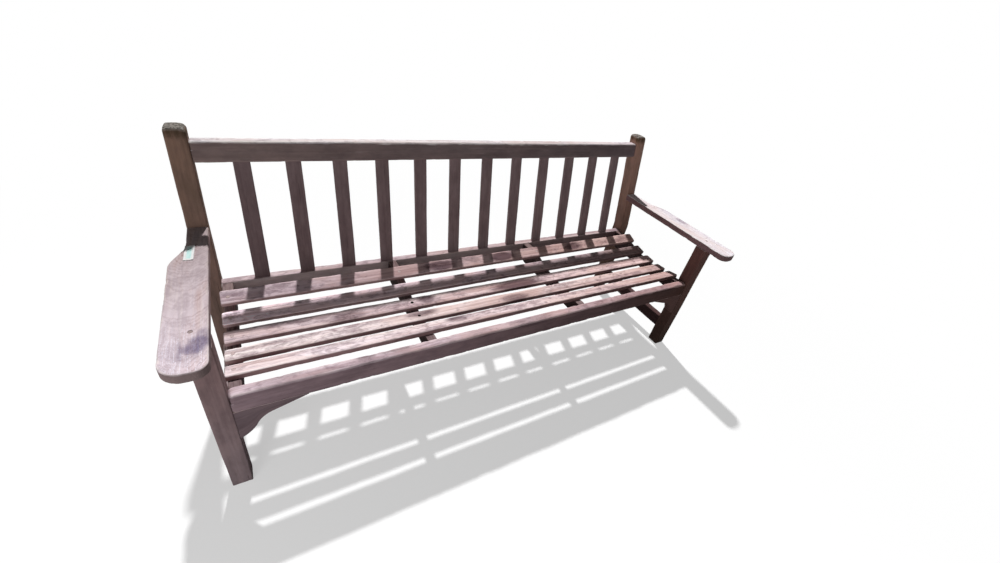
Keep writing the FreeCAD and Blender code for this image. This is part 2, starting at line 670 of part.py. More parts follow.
def fasteners(kind, places):
    """The screws and the plugs over them at a list of places, as one node each."""
    screws = [screw(f"{kind}_screw_{k}", place_at) for k, place_at in enumerate(places, 1)]
    group(f"{kind}_screws", screws)
    plugs = [rod(f"{kind}_plug_{k}", "plug_diameter", PLUG_SIDES, "plug_length", place_at("plug_length"))
             for k, place_at in enumerate(places, 1)]
    group(f"{kind}_plugs", plugs)


def seat_screw_place(x, share):
    """Placements square to a seat slat, at a depth below its top."""
    turn = slat_turn(share)
    return lambda depth: placing(x, f"dish_line + (dish_radius + {depth}) * sin({turn})",
                                 f"dish_centre - (dish_radius + {depth}) * cos({turn})", "1;0;0", turn)


def arm_screw_place(side):
    """Placements over a front leg, off its middle, at a depth below the arm's top."""
    return lambda depth: placing(f"{side} * (leg_middle + arm_screw_out)",
                                 "front_face + front_leg_depth / 2 + arm_screw_back",
                                 f"arm_height - ({depth})", "1;0;0", "0")


def corner_bracket(side):
    """The shaped knee under one end of the front rail: a full nose on the leg that sweeps up into a taper."""
    knee = body(f"corner_bracket_{SIDE_NAMES[side]}", f"{side} * leg_inner",
                "front_face + front_rail_setback", "front_rail_low")
    flat = sketch(knee, "front_view", "XZ_Plane")
    outline(flat, [
        ("0", "0"),
        ("0", "-bracket_height", "bracket_nose_radius", -side),
        (f"{-side} * bracket_waist_along", "-bracket_waist_drop", "bracket_throat_radius", side),
        (f"{-side} * bracket_throat_along", "-bracket_throat_drop"),
        (f"{-side} * bracket_length", "0"),
    ])
    pad(knee, "board", flat, "bracket_thickness", -1)
    flat = sketch(knee, "rail_dowel_centre", "XY_Plane")
    ring(flat, f"{-side} * bracket_dowel_place", "bracket_thickness / 2", "dowel_bore", PLUG_SIDES)
    pocket(knee, "rail_dowel_hole", flat, "dowel_depth", -1)
    flat = sketch(knee, "leg_dowel_centre", "YZ_Plane")
    ring(flat, "bracket_thickness / 2", "-bracket_dowel_place", "dowel_bore", PLUG_SIDES)
    pocket(knee, "leg_dowel_hole", flat, "dowel_depth", -side)


def bracket_dowels():
    """Two dowels hold each bracket, one up into the rail and one across into the leg."""
    pins = []
    y = "front_face + front_rail_setback + bracket_thickness / 2"
    for side, side_name in SIDE_NAMES.items():
        upright = placing(f"{side} * (leg_inner - bracket_dowel_place)", y,
                          "front_rail_low - dowel_length / 2", "1;0;0", "0")
        pins.append(rod(f"rail_dowel_{side_name}", "dowel_diameter", PLUG_SIDES, "dowel_length", upright))
        level = placing(f"{side} * leg_inner - dowel_length / 2", y, "front_rail_low - bracket_dowel_place",
                        "0;1;0", "90")
        pins.append(rod(f"leg_dowel_{side_name}", "dowel_diameter", PLUG_SIDES, "dowel_length", level))
    group("bracket_dowels", pins)


for end in (LEFT, RIGHT):
    front_leg(end)
    rear_post(end)
    arm(end)
    side_stretcher(end)
    corner_bracket(end)
front_rail()
lower_back_rail()
top_rail()
for bearer_name, bearer_x in BEARERS.items():
    seat_bearer(bearer_name, bearer_x)
for place, place_share in enumerate(SEAT_PLACE_SHARES, 1):
    seat_slat(place, place_share)
for slat_index in range(BACK_SLATS):
    back_slat(slat_index)
fasteners("seat", [seat_screw_place(x, share) for share in SEAT_PLACE_SHARES for x in BEARERS.values()])
fasteners("arm", [arm_screw_place(end) for end in (LEFT, RIGHT)])
bracket_dowels()
doc.recompute()

failed = [item.Name for item in doc.Objects if {"Invalid", "Error"} & set(item.State)]
failed += [node.Label for node in nodes if node.Shape.isNull() or not node.Shape.isValid()]
if failed:
    raise RuntimeError("failed: " + ", ".join(failed))
os.makedirs("parts", exist_ok=True)
for node in nodes:
    node.Shape.exportStep(f"parts/{node.Label}.step")
print(len(nodes), "nodes written")
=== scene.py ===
"""A weathered teak garden bench. Every board is a worn, grained piece of its own, set round the frame."""
import math
import bpy
import numpy as np
from mathutils import Matrix, Vector


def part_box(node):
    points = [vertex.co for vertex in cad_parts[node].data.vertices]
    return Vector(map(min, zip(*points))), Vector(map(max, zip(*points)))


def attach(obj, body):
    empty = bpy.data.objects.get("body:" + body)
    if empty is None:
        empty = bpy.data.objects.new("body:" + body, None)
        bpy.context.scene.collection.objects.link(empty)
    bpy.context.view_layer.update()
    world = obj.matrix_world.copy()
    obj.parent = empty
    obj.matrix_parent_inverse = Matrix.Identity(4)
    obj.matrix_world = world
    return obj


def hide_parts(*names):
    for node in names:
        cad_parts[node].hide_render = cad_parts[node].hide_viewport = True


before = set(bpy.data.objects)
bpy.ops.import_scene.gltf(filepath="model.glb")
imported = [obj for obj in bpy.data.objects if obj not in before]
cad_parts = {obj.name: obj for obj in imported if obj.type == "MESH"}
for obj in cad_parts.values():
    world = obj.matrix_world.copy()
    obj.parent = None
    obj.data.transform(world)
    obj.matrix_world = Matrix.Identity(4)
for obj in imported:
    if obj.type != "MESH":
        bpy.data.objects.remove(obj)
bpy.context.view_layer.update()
BODY = "root"

# The camera that took the photograph, and its frame in pixels
PHOTO_WIDTH = 1000
CAMERA_PLACE = (-0.79979, -1.16726, 1.39398)
CAMERA_TILT, CAMERA_ROLL, CAMERA_HEADING = -0.60603, -0.21224, -0.62710
FOCAL_PIXELS = 409.93
SENSOR_WIDTH = 36.0

# The light: a key high up behind the back, a broad soft fill by the left end and a plain sky
KEY_WAY = (0.108, 0.578, 0.807)
KEY_SPREAD = math.radians(1.8)
KEY_STRENGTH = 3.85
SKY_STRENGTH = 0.07
FILL_PLACE, FILL_AIM = (-2.0, -1.7, 0.75), (-0.8, -0.1, 0.45)
FILL_SIZE, FILL_POWER = 1.2, 16.0

# The floor: how pale it is, how much light it sends back, how much it glows, and where it fades to white
FLOOR_SIZE = 30.0
FLOOR_PALE = 0.92
FLOOR_BOUNCE = 0.34
FLOOR_GLOW = 0.5
FLOOR_FADE = (1.2, 3.0)
WHITE = (1, 1, 1, 1)

# Sizes of the timber, in metres
RAKE = math.radians(12.4)
KNEE_HEIGHT = 0.443
KNEE_REACH = 0.0174
ARM_SWELL = 0.039
ARM_NECK = 0.1
ARM_CURVE = 0.115
ARM_NOSE = 0.048
ARM_CORNER = 0.030
DISH_RADIUS = 0.568
DISH_PLACE = 0.210
SLAT_BED = 0.0205
BEARER_DROP, BEARER_SLOPE = 0.006, 0.4
BRACKET_WAIST = (0.048, 0.075)
BRACKET_THROAT = (0.092, 0.033)
BRACKET_HEIGHT = 0.118
BRACKET_NOSE_RADIUS = 0.105
BRACKET_THROAT_RADIUS = 0.075
BRACKET_TIP = 0.001
TOP_ROUND, TOP_OUTER_ROUND, FOOT_ROUND = 0.014, 0.009, 0.005
TOP_CROWN, DOME_REACH = 0.004, 0.03
POST_CRUST = 0.03
# How far a board runs on into the timber that holds it, a leg or a bearer into its own, and a bracket
BUTT, SHORT_BUTT, BRACKET_BUTT = 0.005, 0.001, 0.003

# The plugs: their bores, their count of sides, and their profile as shares of the radius and levels
PLUG_BORE, PLUG_RADIUS, PLUG_DEPTH, PLUG_SIDES = 0.00565, 0.0055, 0.008, 24
PLUG_PROFILE = ((0.6, -0.0001), (0.9, -0.0002), (1.0, -0.0005), (1.0, -0.0045))
# How far each plug's grain is shifted from the last one's
PLUG_SHIFT = (0.31, 0.17, 0)
# How far a plug is sunk and its tone, which is -1 where it is black, painted shade in its deep hole: a seat
# plug, those that have sunk deeper, by slat and bearer, and the arm plugs
SEAT_PLUG, SUNK_PLUGS = (0.0004, 0.0), {(2, 1): (0.0035, -1.0), (3, 1): (0.003, -1.0)}
ARM_PLUGS = {"left": (0.0008, -0.4), "right": (0.0006, -0.3)}

# The blank strip on the left arm: its middle, its width, length and thickness, its mesh, and how far it
# curls up, ripples, lies askew and stands off the wood
STRIP_MIDDLE, STRIP_SIZE, STRIP_GRID = (-0.9915, 0.107), (0.0245, 0.080, 0.0004), (13, 31)
STRIP_CURL, STRIP_RIPPLE, STRIP_SKEW, STRIP_GAP = 0.0012, 0.0002, 0.0015, 0.0003

# Stains. On the arms: x, y, half width, half length and strength. On a seat slat, by its number, dark patches
# that are partly mildew and partly painted leaf shadows: how far along and across it, half length and
# strength.
# On the front rail: how far along it, half length, strength.
ARM_STAINS = ((-0.950, -0.262, 0.026, 0.024, 0.55), (-0.963, -0.286, 0.026, 0.024, 0.85),
              (-0.978, -0.306, 0.026, 0.022, 0.95), (-0.995, -0.322, 0.022, 0.018, 0.55),
              (-0.998, -0.312, 0.045, 0.040, 0.5), (1.029, 0.048, 0.020, 0.050, 0.45),
              (1.021, -0.060, 0.022, 0.040, 0.6))
SEAT_STAINS_AND_LEAF_SHADOWS = {1: ((-0.23, 0.012, 0.05, 0.8),),
               2: ((0.053, -0.010, 0.07, 0.8), (-0.34, 0.012, 0.06, 0.75)),
               3: ((0.11, -0.008, 0.13, 1.0), (-0.5875, -0.010, 0.07, 0.75), (-0.295, 0.0, 0.035, 0.9)),
               5: ((-0.18, 0.0, 0.07, 1.1), (-0.02, 0.01, 0.03, 0.5), (0.12, 0.0, 0.06, 1.1),
                   (0.53, 0.0, 0.05, 0.9))}
RAIL_STAINS = ((-0.82, 0.06, 0.4), (-0.58, 0.03, 0.6), (-0.49, 0.06, 0.4), (-0.18, 0.05, 0.3),
               (0.05, 0.09, 0.45), (0.35, 0.10, 0.45), (0.66, 0.22, 0.5))
RAIL_STAIN_WIDTH = 0.02

# The mesh: where lines lie near an edge, as shares of its round, then round a bore so many lines each side,
# so far apart, with so many rings and a lip, and the half width of a check
EDGE_SHARES = (0, 0.586, 1, 1.7)
BORE_REACH, BORE_STEP, BORE_RINGS, BORE_LIP = 4, 0.002, 3, 0.0008
CHECK_REACH = 0.0009

# Wear: how deep checks are, how far they stay from plugs and a post's top, how high ridges and bows are, how
# far an end's wear reaches, and how much an edge's round may grow
CHECK_DEPTH, FINE_CHECK_DEPTH = 0.0016, 0.001
PLUG_CLEAR, DOME_CLEAR = 0.011, 0.01
RIDGE_HEIGHT, BOW_HEIGHT, END_WEAR, WIDEST_ROUND = 0.0003, 0.0005, 0.025, 1.7
# The noises of ridges, bows, rounds and chips: waves to the metre along, across and through, and the seed's
# rise, and how far each step of the seed shifts them
WEAR_NOISES = ((9, 210, 210), 0), ((6, 18, 18), 11), ((14, 40, 40), 23), ((45, 60, 60), 31)
WEAR_SHIFT = 1.7
# The growth rings: their pitch, and how far aside and how deep under a board the tree's heart may lie
RING_PITCH = 0.0044
HEART_ASIDE, HEART_DEPTH = 0.02, (0.02, 0.05)

# How boards differ from the common finish, as shares of red, green and blue: partly each board's own tone and
# partly painted light and shade, set by how brightly each part was lit. Each has one tint where it is
# sheltered and one where it looks up, for its start and for its far end.
PLAIN = (1, 1, 1)
# Painted shade for the bearers under the seat
UNDER_SEAT_SHADE = (0.34, 0.30, 0.30)
# Painted light lifts the left leg's sheltered faces; painted shade darkens the right leg towards its foot
LEG_TINTS = {"left": ((1.3, 1.38, 1.46), PLAIN, (0.98, 0.88, 0.88), PLAIN),
             "right": ((0.27, 0.23, 0.18), PLAIN, (0.76, 0.51, 0.44), PLAIN)}
# The right stretcher is darkened all over with painted shade
STRETCHER_TINTS = {"left": ((1.2, 1.15, 1.15), PLAIN), "right": ((0.24, 0.17, 0.17), (0.15, 0.1, 0.1))}
POST_TINTS = {"left": ((0.92, 0.86, 0.95), PLAIN, (1.3, 1.16, 1.06), PLAIN),
              # Painted shade darkens the right post's foot under the seat
              "right": ((0.3, 0.22, 0.2), PLAIN, (2.45, 2.1, 2.05), PLAIN)}
BRACKET_TINTS = {"left": ((0.82, 0.82, 0.9), PLAIN), "right": ((0.6, 0.45, 0.4), PLAIN)}
# The top of the left arm's rear end is darkened with painted shade
ARM_TINTS = {"left": ((1.15, 1.1, 1.12), (0.56, 0.55, 0.54), (0.8, 0.8, 0.82), (1.1, 1.13, 1.2)),
             "right": ((0.75, 0.62, 0.66), (1.3, 1.45, 1.5))}
# The slats' sheltered faces: painted light towards the left end, painted shade towards the right
SEAT_SIDE_TINTS = (1.8, 1.65, 1.65), (0.8, 0.66, 0.64)
# Slat 4 lies in the top rail's shadow: its near top tint is painted light, its far top tint painted shade
SEAT_TINTS = {1: ((1.32, 1.42, 1.46), (0.93, 0.80, 0.76)), 2: ((1.3, 1.4, 1.4), (0.97, 0.84, 0.80)),
              3: ((1.08, 1.08, 1.12), (1.32, 1.2, 1.17)), 4: ((1.7, 1.72, 1.84), (0.5, 0.42, 0.41)),
              5: ((0.94, 0.92, 1.0), (1.08, 0.9, 0.82))}
BACK_LEFT_TINT, BACK_RIGHT_TINT = (0.9, 0.88, 0.9), (1.36, 1.38, 1.4)
FRONT_RAIL_TINTS = (1.36, 1.34, 1.5), (0.98, 0.99, 1.08), (0.28, 0.17, 0.13), (0.92, 0.78, 0.78)
# The top rail's upward face is painted lighter, as if in full light
TOP_RAIL_TINTS = (1.02, 1.05, 1.0), (1.3, 1.5, 1.5), (0.88, 0.95, 1.0), (1.15, 1.25, 1.3)
# The lower back rail's sheltered face is lifted with painted light at its left end
LOWER_RAIL_TINTS = (3.3, 3.9, 3.9), (0.92, 0.9, 0.92), (0.9, 0.8, 0.8), (0.85, 0.82, 0.85)

SIDES = {"left": -1, "right": 1}
BEARERS = ("end_bearer_left", "middle_bearer_left", "middle_bearer_right", "end_bearer_right")
BACK_SLATS = 12
SEAT_SLATS = 5
# The seed of each kind of board, from which the boards of that kind count on, and how far each step of the
# seed shifts a board's pattern
SEEDS = {"front_leg": 11, "rear_post": 15, "arm": 19, "side_stretcher": 23, "corner_bracket": 27,
         "front_rail": 31, "lower_back_rail": 33, "top_rail": 35, "bearer": 37, "seat_slat": 40,
         "back_slat": 60}
SEED_SHIFT = (3.71, 1.13, 0.77)


# Noise and small curves, worked out on whole arrays

def scatter(x, y, z, seed):
    """A fixed random number from 0 to 1 for each whole-number place, by mixing its bits."""
    mixed = x * 374761393 + y * 668265263 + z * 2147483647 + seed * 974634777
    mixed = (mixed ^ (mixed >> 13)) * 1274126177
    return ((mixed ^ (mixed >> 16)) & 0xFFFFFF) / float(0xFFFFFF)


def lattice_noise(points, seed):
    """Smooth noise from -1 to 1: the eight nearest lattice numbers, blended by 3t^2 - 2t^3 on each axis."""
    base = np.floor(points).astype(np.int64)
    part = points - base
    part = part * part * (3 - 2 * part)
    total = np.zeros(len(points))
    for corner in range(8):
        step = np.array([corner & 1, corner >> 1 & 1, corner >> 2 & 1])
        weight = np.prod(np.where(step, part, 1 - part), axis=1)
        total += weight * scatter(*(base + step).T, seed)
    return total * 2 - 1


def layered_noise(points, seed, layers=3):
    """Lattice noise added to itself at twice the pitch and half the height, layer by layer."""
    return sum(lattice_noise(points * 2**k, seed + k) / 2**k for k in range(layers))


def smooth_step(x):
    """0 below 0, 1 above 1 and 3x^2 - 2x^3 between."""
    x = np.clip(x, 0, 1)
    return x * x * (3 - 2 * x)


def arc_height(x, start, end, radius, bulge):
    """The height over x of the arc from start to end: the circle's centre lies off the middle of the chord,
    below it for bulge 1 and above it for bulge -1."""
    (x0, z0), (x1, z1) = start, end
    chord = math.hypot(x1 - x0, z1 - z0)
    off = bulge * math.sqrt(radius**2 - chord**2 / 4) / chord
    centre = (x0 + x1) / 2 + off * (z1 - z0), (z0 + z1) / 2 - off * (x1 - x0)
    return centre[1] + bulge * np.sqrt(np.maximum(radius**2 - (x - centre[0])**2, 0))


def grid_lines(low, high, step, round_over, bores=(), checks=()):
    """Places from low to high: close together where the edges round over, round each bore and beside each
    check, and otherwise a step apart."""
    edge = round_over * np.array(EDGE_SHARES)
    inside = np.linspace(low + edge[-1], high - edge[-1], max(2, int(round((high - low) / step))))
    fine = [place + BORE_STEP * np.arange(-BORE_REACH, BORE_REACH + 1) for place in bores]
    fine += [place + CHECK_REACH * np.arange(-1, 2) for place in checks]
    for group in fine:
        gap = (group[1] - group[0]) / 2
        inside = inside[(inside < group[0] - gap) | (inside > group[-1] + gap)]
    return np.unique(np.concatenate([low + edge[:-1], inside, high - edge[:-1], *fine]).round(7))


# Building boards

def grid_quads(grid):
    """The quads of a grid of point numbers: each goes one row on, one column on, and one row back."""
    return np.stack([grid[:-1, :-1], grid[1:, :-1], grid[1:, 1:], grid[:-1, 1:]], axis=2).reshape(-1, 4)


def closed(loops):
    """The same loops of point numbers, each followed by its first point."""
    return np.column_stack([loops, loops[:, 0]])


def block_surface(counts):
    """The skin of a lattice block: its points as whole numbers along the three axes, and its quads. The
    first layer of each axis is read the other way round from the last, so that both face outwards."""
    numbers = np.arange(np.prod(counts)).reshape(counts)
    quads = []
    for axis in range(3):
        layers = numbers.transpose(axis, (axis + 1) % 3, (axis + 2) % 3)
        quads += grid_quads(layers[0].T), grid_quads(layers[-1])
    found, flat = np.unique(np.concatenate(quads), return_inverse=True)
    return np.stack(np.unravel_index(found, numbers.shape), axis=1), flat.reshape(-1, 4)


def bore(cells, quads, lines, spot, radius, depth, taken):
    """Open a round bore in the top face: a square of cells round the spot gives way to rings that go from
    the square to the circle, then a wall down to the depth, and a floor. The taken count is of the points
    so far."""
    reach, rings = BORE_REACH, BORE_RINGS
    a_at, b_at = [int(np.argmin(np.abs(line - place))) for line, place in zip(lines, spot)]
    beside = (np.abs(cells[:, 0] - a_at) <= reach) & (np.abs(cells[:, 1] - b_at) <= reach)
    inside = beside & (cells[:, 2] == len(lines[2]) - 1)
    known = quads.max(axis=1) < len(cells)
    drop = known & inside[np.where(known[:, None], quads, 0)].all(axis=1)
    run = np.arange(-reach, reach)
    full = np.full_like(run, reach)
    sides = (run, -full), (full, run), (-run, full), (-full, -run)
    square = np.concatenate([np.stack(side, 1) for side in sides])
    rim = [np.nonzero(inside & (cells[:, 0] == a_at + i) & (cells[:, 1] == b_at + j))[0][0]
           for i, j in square]
    outer = np.stack([lines[0][a_at + square[:, 0]] - spot[0], lines[1][b_at + square[:, 1]] - spot[1]], 1)
    circle = radius * outer / np.linalg.norm(outer, axis=1)[:, None]
    height = lines[2][-1]
    levels = [(outer + (circle - outer) * k / rings, height) for k in range(1, rings + 1)]
    levels += [(circle, height - down) for down in (BORE_LIP, depth / 2, depth)]
    points = np.concatenate([np.column_stack([flat + spot, np.full(len(flat), level)])
                             for flat, level in levels])
    count = len(square)
    loops = np.array([rim] + [taken + count * k + np.arange(count) for k in range(len(levels))])
    on_top = np.arange(len(points)) < count * rings
    return points, on_top, np.concatenate([quads[~drop], grid_quads(closed(loops).T)]), loops[-1].tolist()


def rounded(points, half, corners, radius, sunk):
    """Plan corners first, then edges. In a plan corner the square goes to a quarter disc, ring by ring. Then,
    in the upright plane square to the nearest side, a point goes to the round of the edge: the nearest point
    that lies a radius inside, plus the radius and the sunken depth along the way out. Gives the points, how
    much each lies on a rounded edge, and how much it faces along the grain."""
    a, b, c = points.T
    sign_a, sign_b = np.where(a < 0, -1.0, 1.0), np.where(b < 0, -1.0, 1.0)
    corner = np.where(sign_a < 0, np.where(sign_b < 0, corners[0], corners[1]),
                      np.where(sign_b < 0, corners[3], corners[2]))
    da, db = np.abs(a) - (half[0] - corner), np.abs(b) - (half[1] - corner)
    turned = (da > 0) & (db > 0)
    length = np.maximum(np.hypot(da, db), 1e-12)
    reach = np.maximum(da, db)
    end_nearer = half[0] - np.abs(a) < half[1] - np.abs(b)
    out_a = np.where(turned, da / length, np.where(end_nearer, 1.0, 0.0))
    out_b = np.where(turned, db / length, np.where(end_nearer, 0.0, 1.0))
    inset = np.where(turned, corner - reach, np.minimum(half[0] - np.abs(a), half[1] - np.abs(b)))
    a = np.where(turned, half[0] - corner + out_a * reach, np.abs(a)) * sign_a
    b = np.where(turned, half[1] - corner + out_b * reach, np.abs(b)) * sign_b
    core_in = np.maximum(inset, radius)
    core_c = np.clip(c, radius - half[2], half[2] - radius)
    way_in, way_c = core_in - inset, c - core_c
    far = np.maximum(np.hypot(way_in, way_c), 1e-12)
    way_in, way_c = way_in / far, way_c / far
    moved = inset - core_in + way_in * (radius + sunk)
    placed = [a + sign_a * out_a * moved, b + sign_b * out_b * moved, core_c + way_c * (radius + sunk)]
    return np.column_stack(placed), 2 * np.abs(way_in * way_c), np.abs(way_in * out_a)


def weather(points, half, radius, seed, rough, checks, chips):
    """Ridges follow the grain, long noise bows the faces, edges are rounder where slow noise says and towards
    the ends and lose chips where quick noise peaks, and each check is a V that fades out to both its ends."""
    a, b, c = points.T
    shifted = points + seed * WEAR_SHIFT
    ridges, bows, slow, quick = [layered_noise(shifted * waves, seed + rise) for waves, rise in WEAR_NOISES]
    sunk = rough * (RIDGE_HEIGHT * ridges + BOW_HEIGHT * bows - BOW_HEIGHT)
    split = np.zeros(len(points))
    for start, end, place, depth in checks:
        along = (a - start) / (end - start)
        fade = smooth_step(np.minimum(along, 1 - along) * 4)
        split = np.maximum(split, fade * np.clip(1 - np.abs(b - place) / CHECK_REACH, 0, 1) * (c > 0))
        sunk = sunk - depth * split
    end_wear = np.exp((np.abs(a) - half[0]) / END_WEAR)
    chipped = chips * smooth_step((quick - 0.35) / 0.4)
    grown = radius * np.clip(1 + 0.45 * slow + 0.6 * end_wear, 0.5, WIDEST_ROUND) + chipped
    return sunk, grown, split


def ring_distance(points, seed, arches):
    """How far each point lies from the heart of the tree, which is off to one side under the board. The tree
    tapers along the board, so the rings that the faces cut come out as nested arches."""
    pick = np.random.default_rng(seed)
    across = points[:, 1] - pick.uniform(-HEART_ASIDE, HEART_ASIDE)
    through = points[:, 2] + pick.uniform(*HEART_DEPTH) + arches / 10
    return np.hypot(across, through) + arches * points[:, 0]


def blended(share, near, far):
    """A tint for each point, blended evenly along the board from one end's to the other's."""
    return np.outer(1 - share, near) + np.outer(share, far)


def stain_and_shadow_patches(points, stains):
    """How dark each point's patches are, stains on most boards and partly painted leaf shadows on the seat:
    soft patches, each at a place with a half length and a half width.
    """
    total = np.zeros(len(points))
    for along, across, length, width, strength in stains:
        far = np.hypot((points[:, 0] - along) / length, (points[:, 1] - across) / width)
        total = np.maximum(total, strength * smooth_step(1.5 - far))
    return total


def board_marks(points, size, seed, arches, stains, tints):
    """What the finish reads off a board's points apart from its edges, ends, checks and bores. Without tints
    for the far end, the board keeps its first two all along."""
    share, ends = points[:, 0] / size[0] + 0.5, (*tints, *tints)
    return {"grain": points + seed * np.array(SEED_SHIFT), "rings": ring_distance(points, seed, arches),
            "far": share, "stain": stain_and_shadow_patches(points, stains), "shade_tint": blended(share, ends[0], ends[2]),
            "sky_tint": blended(share, ends[1], ends[3])}


def board(node, size, shape, finish, seed, tints, step=(0.010, 0.003, 0.004), radius=0.003,
          corners=(0, 0, 0, 0), rough=1.0, checks=(), bores=(), stains=(), chips=0.001, arches=0.006):
    """A worn board in place of a node: a lattice skin of its size along, across and through, bored, rounded
    and weathered, then laid in place by its shape function. A pair of radii is for the upper outer edge and
    for the rest. Its marks for the finish ride on its points."""
    name = f"{node}_board"
    half = np.array(size) / 2
    limit = np.max(radius) * WIDEST_ROUND + chips / 2
    corners = np.maximum(corners, limit)
    bores_a, bores_b = [sorted({spot[axis] for spot, _, _ in bores}) for axis in (0, 1)]
    lines = [grid_lines(-half[0], half[0], step[0], limit, bores_a),
             grid_lines(-half[1], half[1], step[1], limit, bores_b, [check[2] for check in checks]),
             grid_lines(-half[2], half[2], step[2], min(limit, half[2] / 2))]
    cells, quads = block_surface([len(line) for line in lines])
    points = np.column_stack([lines[k][cells[:, k]] for k in range(3)])
    skin = np.ones(len(points), bool)
    floors = []
    for spot, bore_radius, depth in bores:
        added, on_top, quads, floor = bore(cells, quads, lines, spot, bore_radius, depth, len(points))
        points, skin = np.concatenate([points, added]), np.concatenate([skin, on_top])
        floors.append(floor)
    upper_outer = (points[:, 1] > 0) & (points[:, 2] > 0)
    base_radius = radius if np.isscalar(radius) else np.where(upper_outer, *radius)
    sunk, grown, split = weather(points, half, base_radius, seed, rough, checks, chips)
    placed, edge, end = rounded(points, half, corners, np.minimum(grown, min(limit, half[2] * 0.9)), sunk)
    placed = np.where(skin[:, None], placed, points)
    used, flat = np.unique(quads.ravel(), return_inverse=True)
    renumbered = np.zeros(len(points), int)
    renumbered[used] = np.arange(len(used))
    faces = flat.reshape(-1, 4).tolist() + [renumbered[floor].tolist() for floor in floors]
    marks = {**board_marks(points, size, seed, arches, stains, tints), "edge": np.where(skin, edge, 0),
             "end": end, "split": split, "bored": 1.0 - skin}
    marks = {label: values[used] for label, values in marks.items()}
    settle(name, marked_mesh(name, shape(placed[used]), faces, marks), finish, node)


def marked_mesh(name, points, faces, marks):
    """A smooth mesh with a number, a place or a tint on each point, under its label."""
    mesh = bpy.data.meshes.new(name)
    mesh.from_pydata(points.tolist(), [], faces)
    mesh.polygons.foreach_set("use_smooth", np.ones(len(mesh.polygons), bool))
    for label, values in marks.items():
        vector = values.ndim == 2
        held = mesh.attributes.new(label, "FLOAT_VECTOR" if vector else "FLOAT", "POINT")
        held.data.foreach_set("vector" if vector else "value", values.astype(np.float32).ravel())
    return mesh


def shown(name, data):
    """A new object in the scene."""
    made = bpy.data.objects.new(name, data)
    bpy.context.scene.collection.objects.link(made)
    return made


def settle(name, mesh, finish, node=None):
    """Make the mesh a piece that rides on the bench, takes its finish and stands for its node."""
    mesh.materials.append(FINISHES[finish])
    piece = shown(name, mesh)
    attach(piece, BODY)
    if node:
        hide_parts(node)
    return piece


def laid(centre, along, across, through):
    """A shape function that lays a straight board with its middle at a place, its three ways given."""
    ways = np.array([along, across, through], float)
    return lambda points: np.array(centre) + points @ ways


def local_box(node, turn):
    """The lowest and highest corners of a node in a frame turned about the bench's long axis, and the three
    ways of that frame."""
    ways = np.array([(1, 0, 0), (0, math.cos(turn), math.sin(turn)), (0, -math.sin(turn), math.cos(turn))])
    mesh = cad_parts[node].data
    places = np.zeros(len(mesh.vertices) * 3)
    mesh.vertices.foreach_get("co", places)
    places = places.reshape(-1, 3) @ ways.T
    return places.min(0), places.max(0), ways


def split_lines(seed, size, count, deepest=CHECK_DEPTH):
    """A few checks for a board: each has a start, an end, a place across and a depth, from fixed random
    numbers."""
    pick = np.random.default_rng(seed)
    length, width = size[0], size[1]
    found = []
    for _ in range(count):
        run = length * pick.uniform(0.08, 0.3)
        at_end = pick.random() < 0.6
        start = -length / 2 - run * 0.3 if at_end else pick.uniform(-length / 2, length / 2 - run)
        if at_end and pick.random() < 0.5:
            start = length / 2 - run * 0.7
        found.append((start, start + run, width * pick.uniform(-0.32, 0.32), deepest * pick.uniform(0.5, 1)))
    return found


# The boards

# The faces of the legs and posts, the arms, the dish and the plugs, read off the nodes
LEG_LOW, LEG_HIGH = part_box("front_leg_right")
POST_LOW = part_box("rear_post_right")[0]
LEG_WIDTH = LEG_HIGH.x - LEG_LOW.x
LEG_MIDDLE = (LEG_LOW.x + LEG_HIGH.x) / 2
INNER_SPAN = 2 * LEG_LOW.x
ARM_LOW, ARM_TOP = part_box("arm_left")[0].z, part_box("arm_left")[1].z
DISH_LINE = LEG_LOW.y + DISH_PLACE
ARM_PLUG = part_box("arm_plugs")[1] - Vector((PLUG_RADIUS, PLUG_RADIUS, 0))
BEARER_PLACES = [float(sum(corner.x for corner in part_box(node)) / 2) for node in BEARERS]


def knee_shift(height):
    """How far back the post has leant at a height: nothing below the knee, a parabola through it and a slope
    above."""
    start = KNEE_HEIGHT - KNEE_REACH
    bend = math.tan(RAKE) * (np.clip(height - start, 0, 2 * KNEE_REACH))**2 / (4 * KNEE_REACH)
    return bend + math.tan(RAKE) * np.maximum(height - KNEE_HEIGHT - KNEE_REACH, 0)


def front_leg(node, side, seed, tints):
    """A square leg with worn arrises and a bruised foot."""
    height = ARM_LOW + SHORT_BUTT
    size = (height, LEG_WIDTH, LEG_HIGH.y - LEG_LOW.y)
    centre = (side * LEG_MIDDLE, (LEG_LOW.y + LEG_HIGH.y) / 2, height / 2)
    board(node, size, laid(centre, (0, 0, 1), (-1, 0, 0), (0, -1, 0)), "teak_frame", seed, tints,
          radius=0.0025, chips=0.0015, corners=(FOOT_ROUND, FOOT_ROUND, 0, 0),
          checks=split_lines(seed, size, 1))


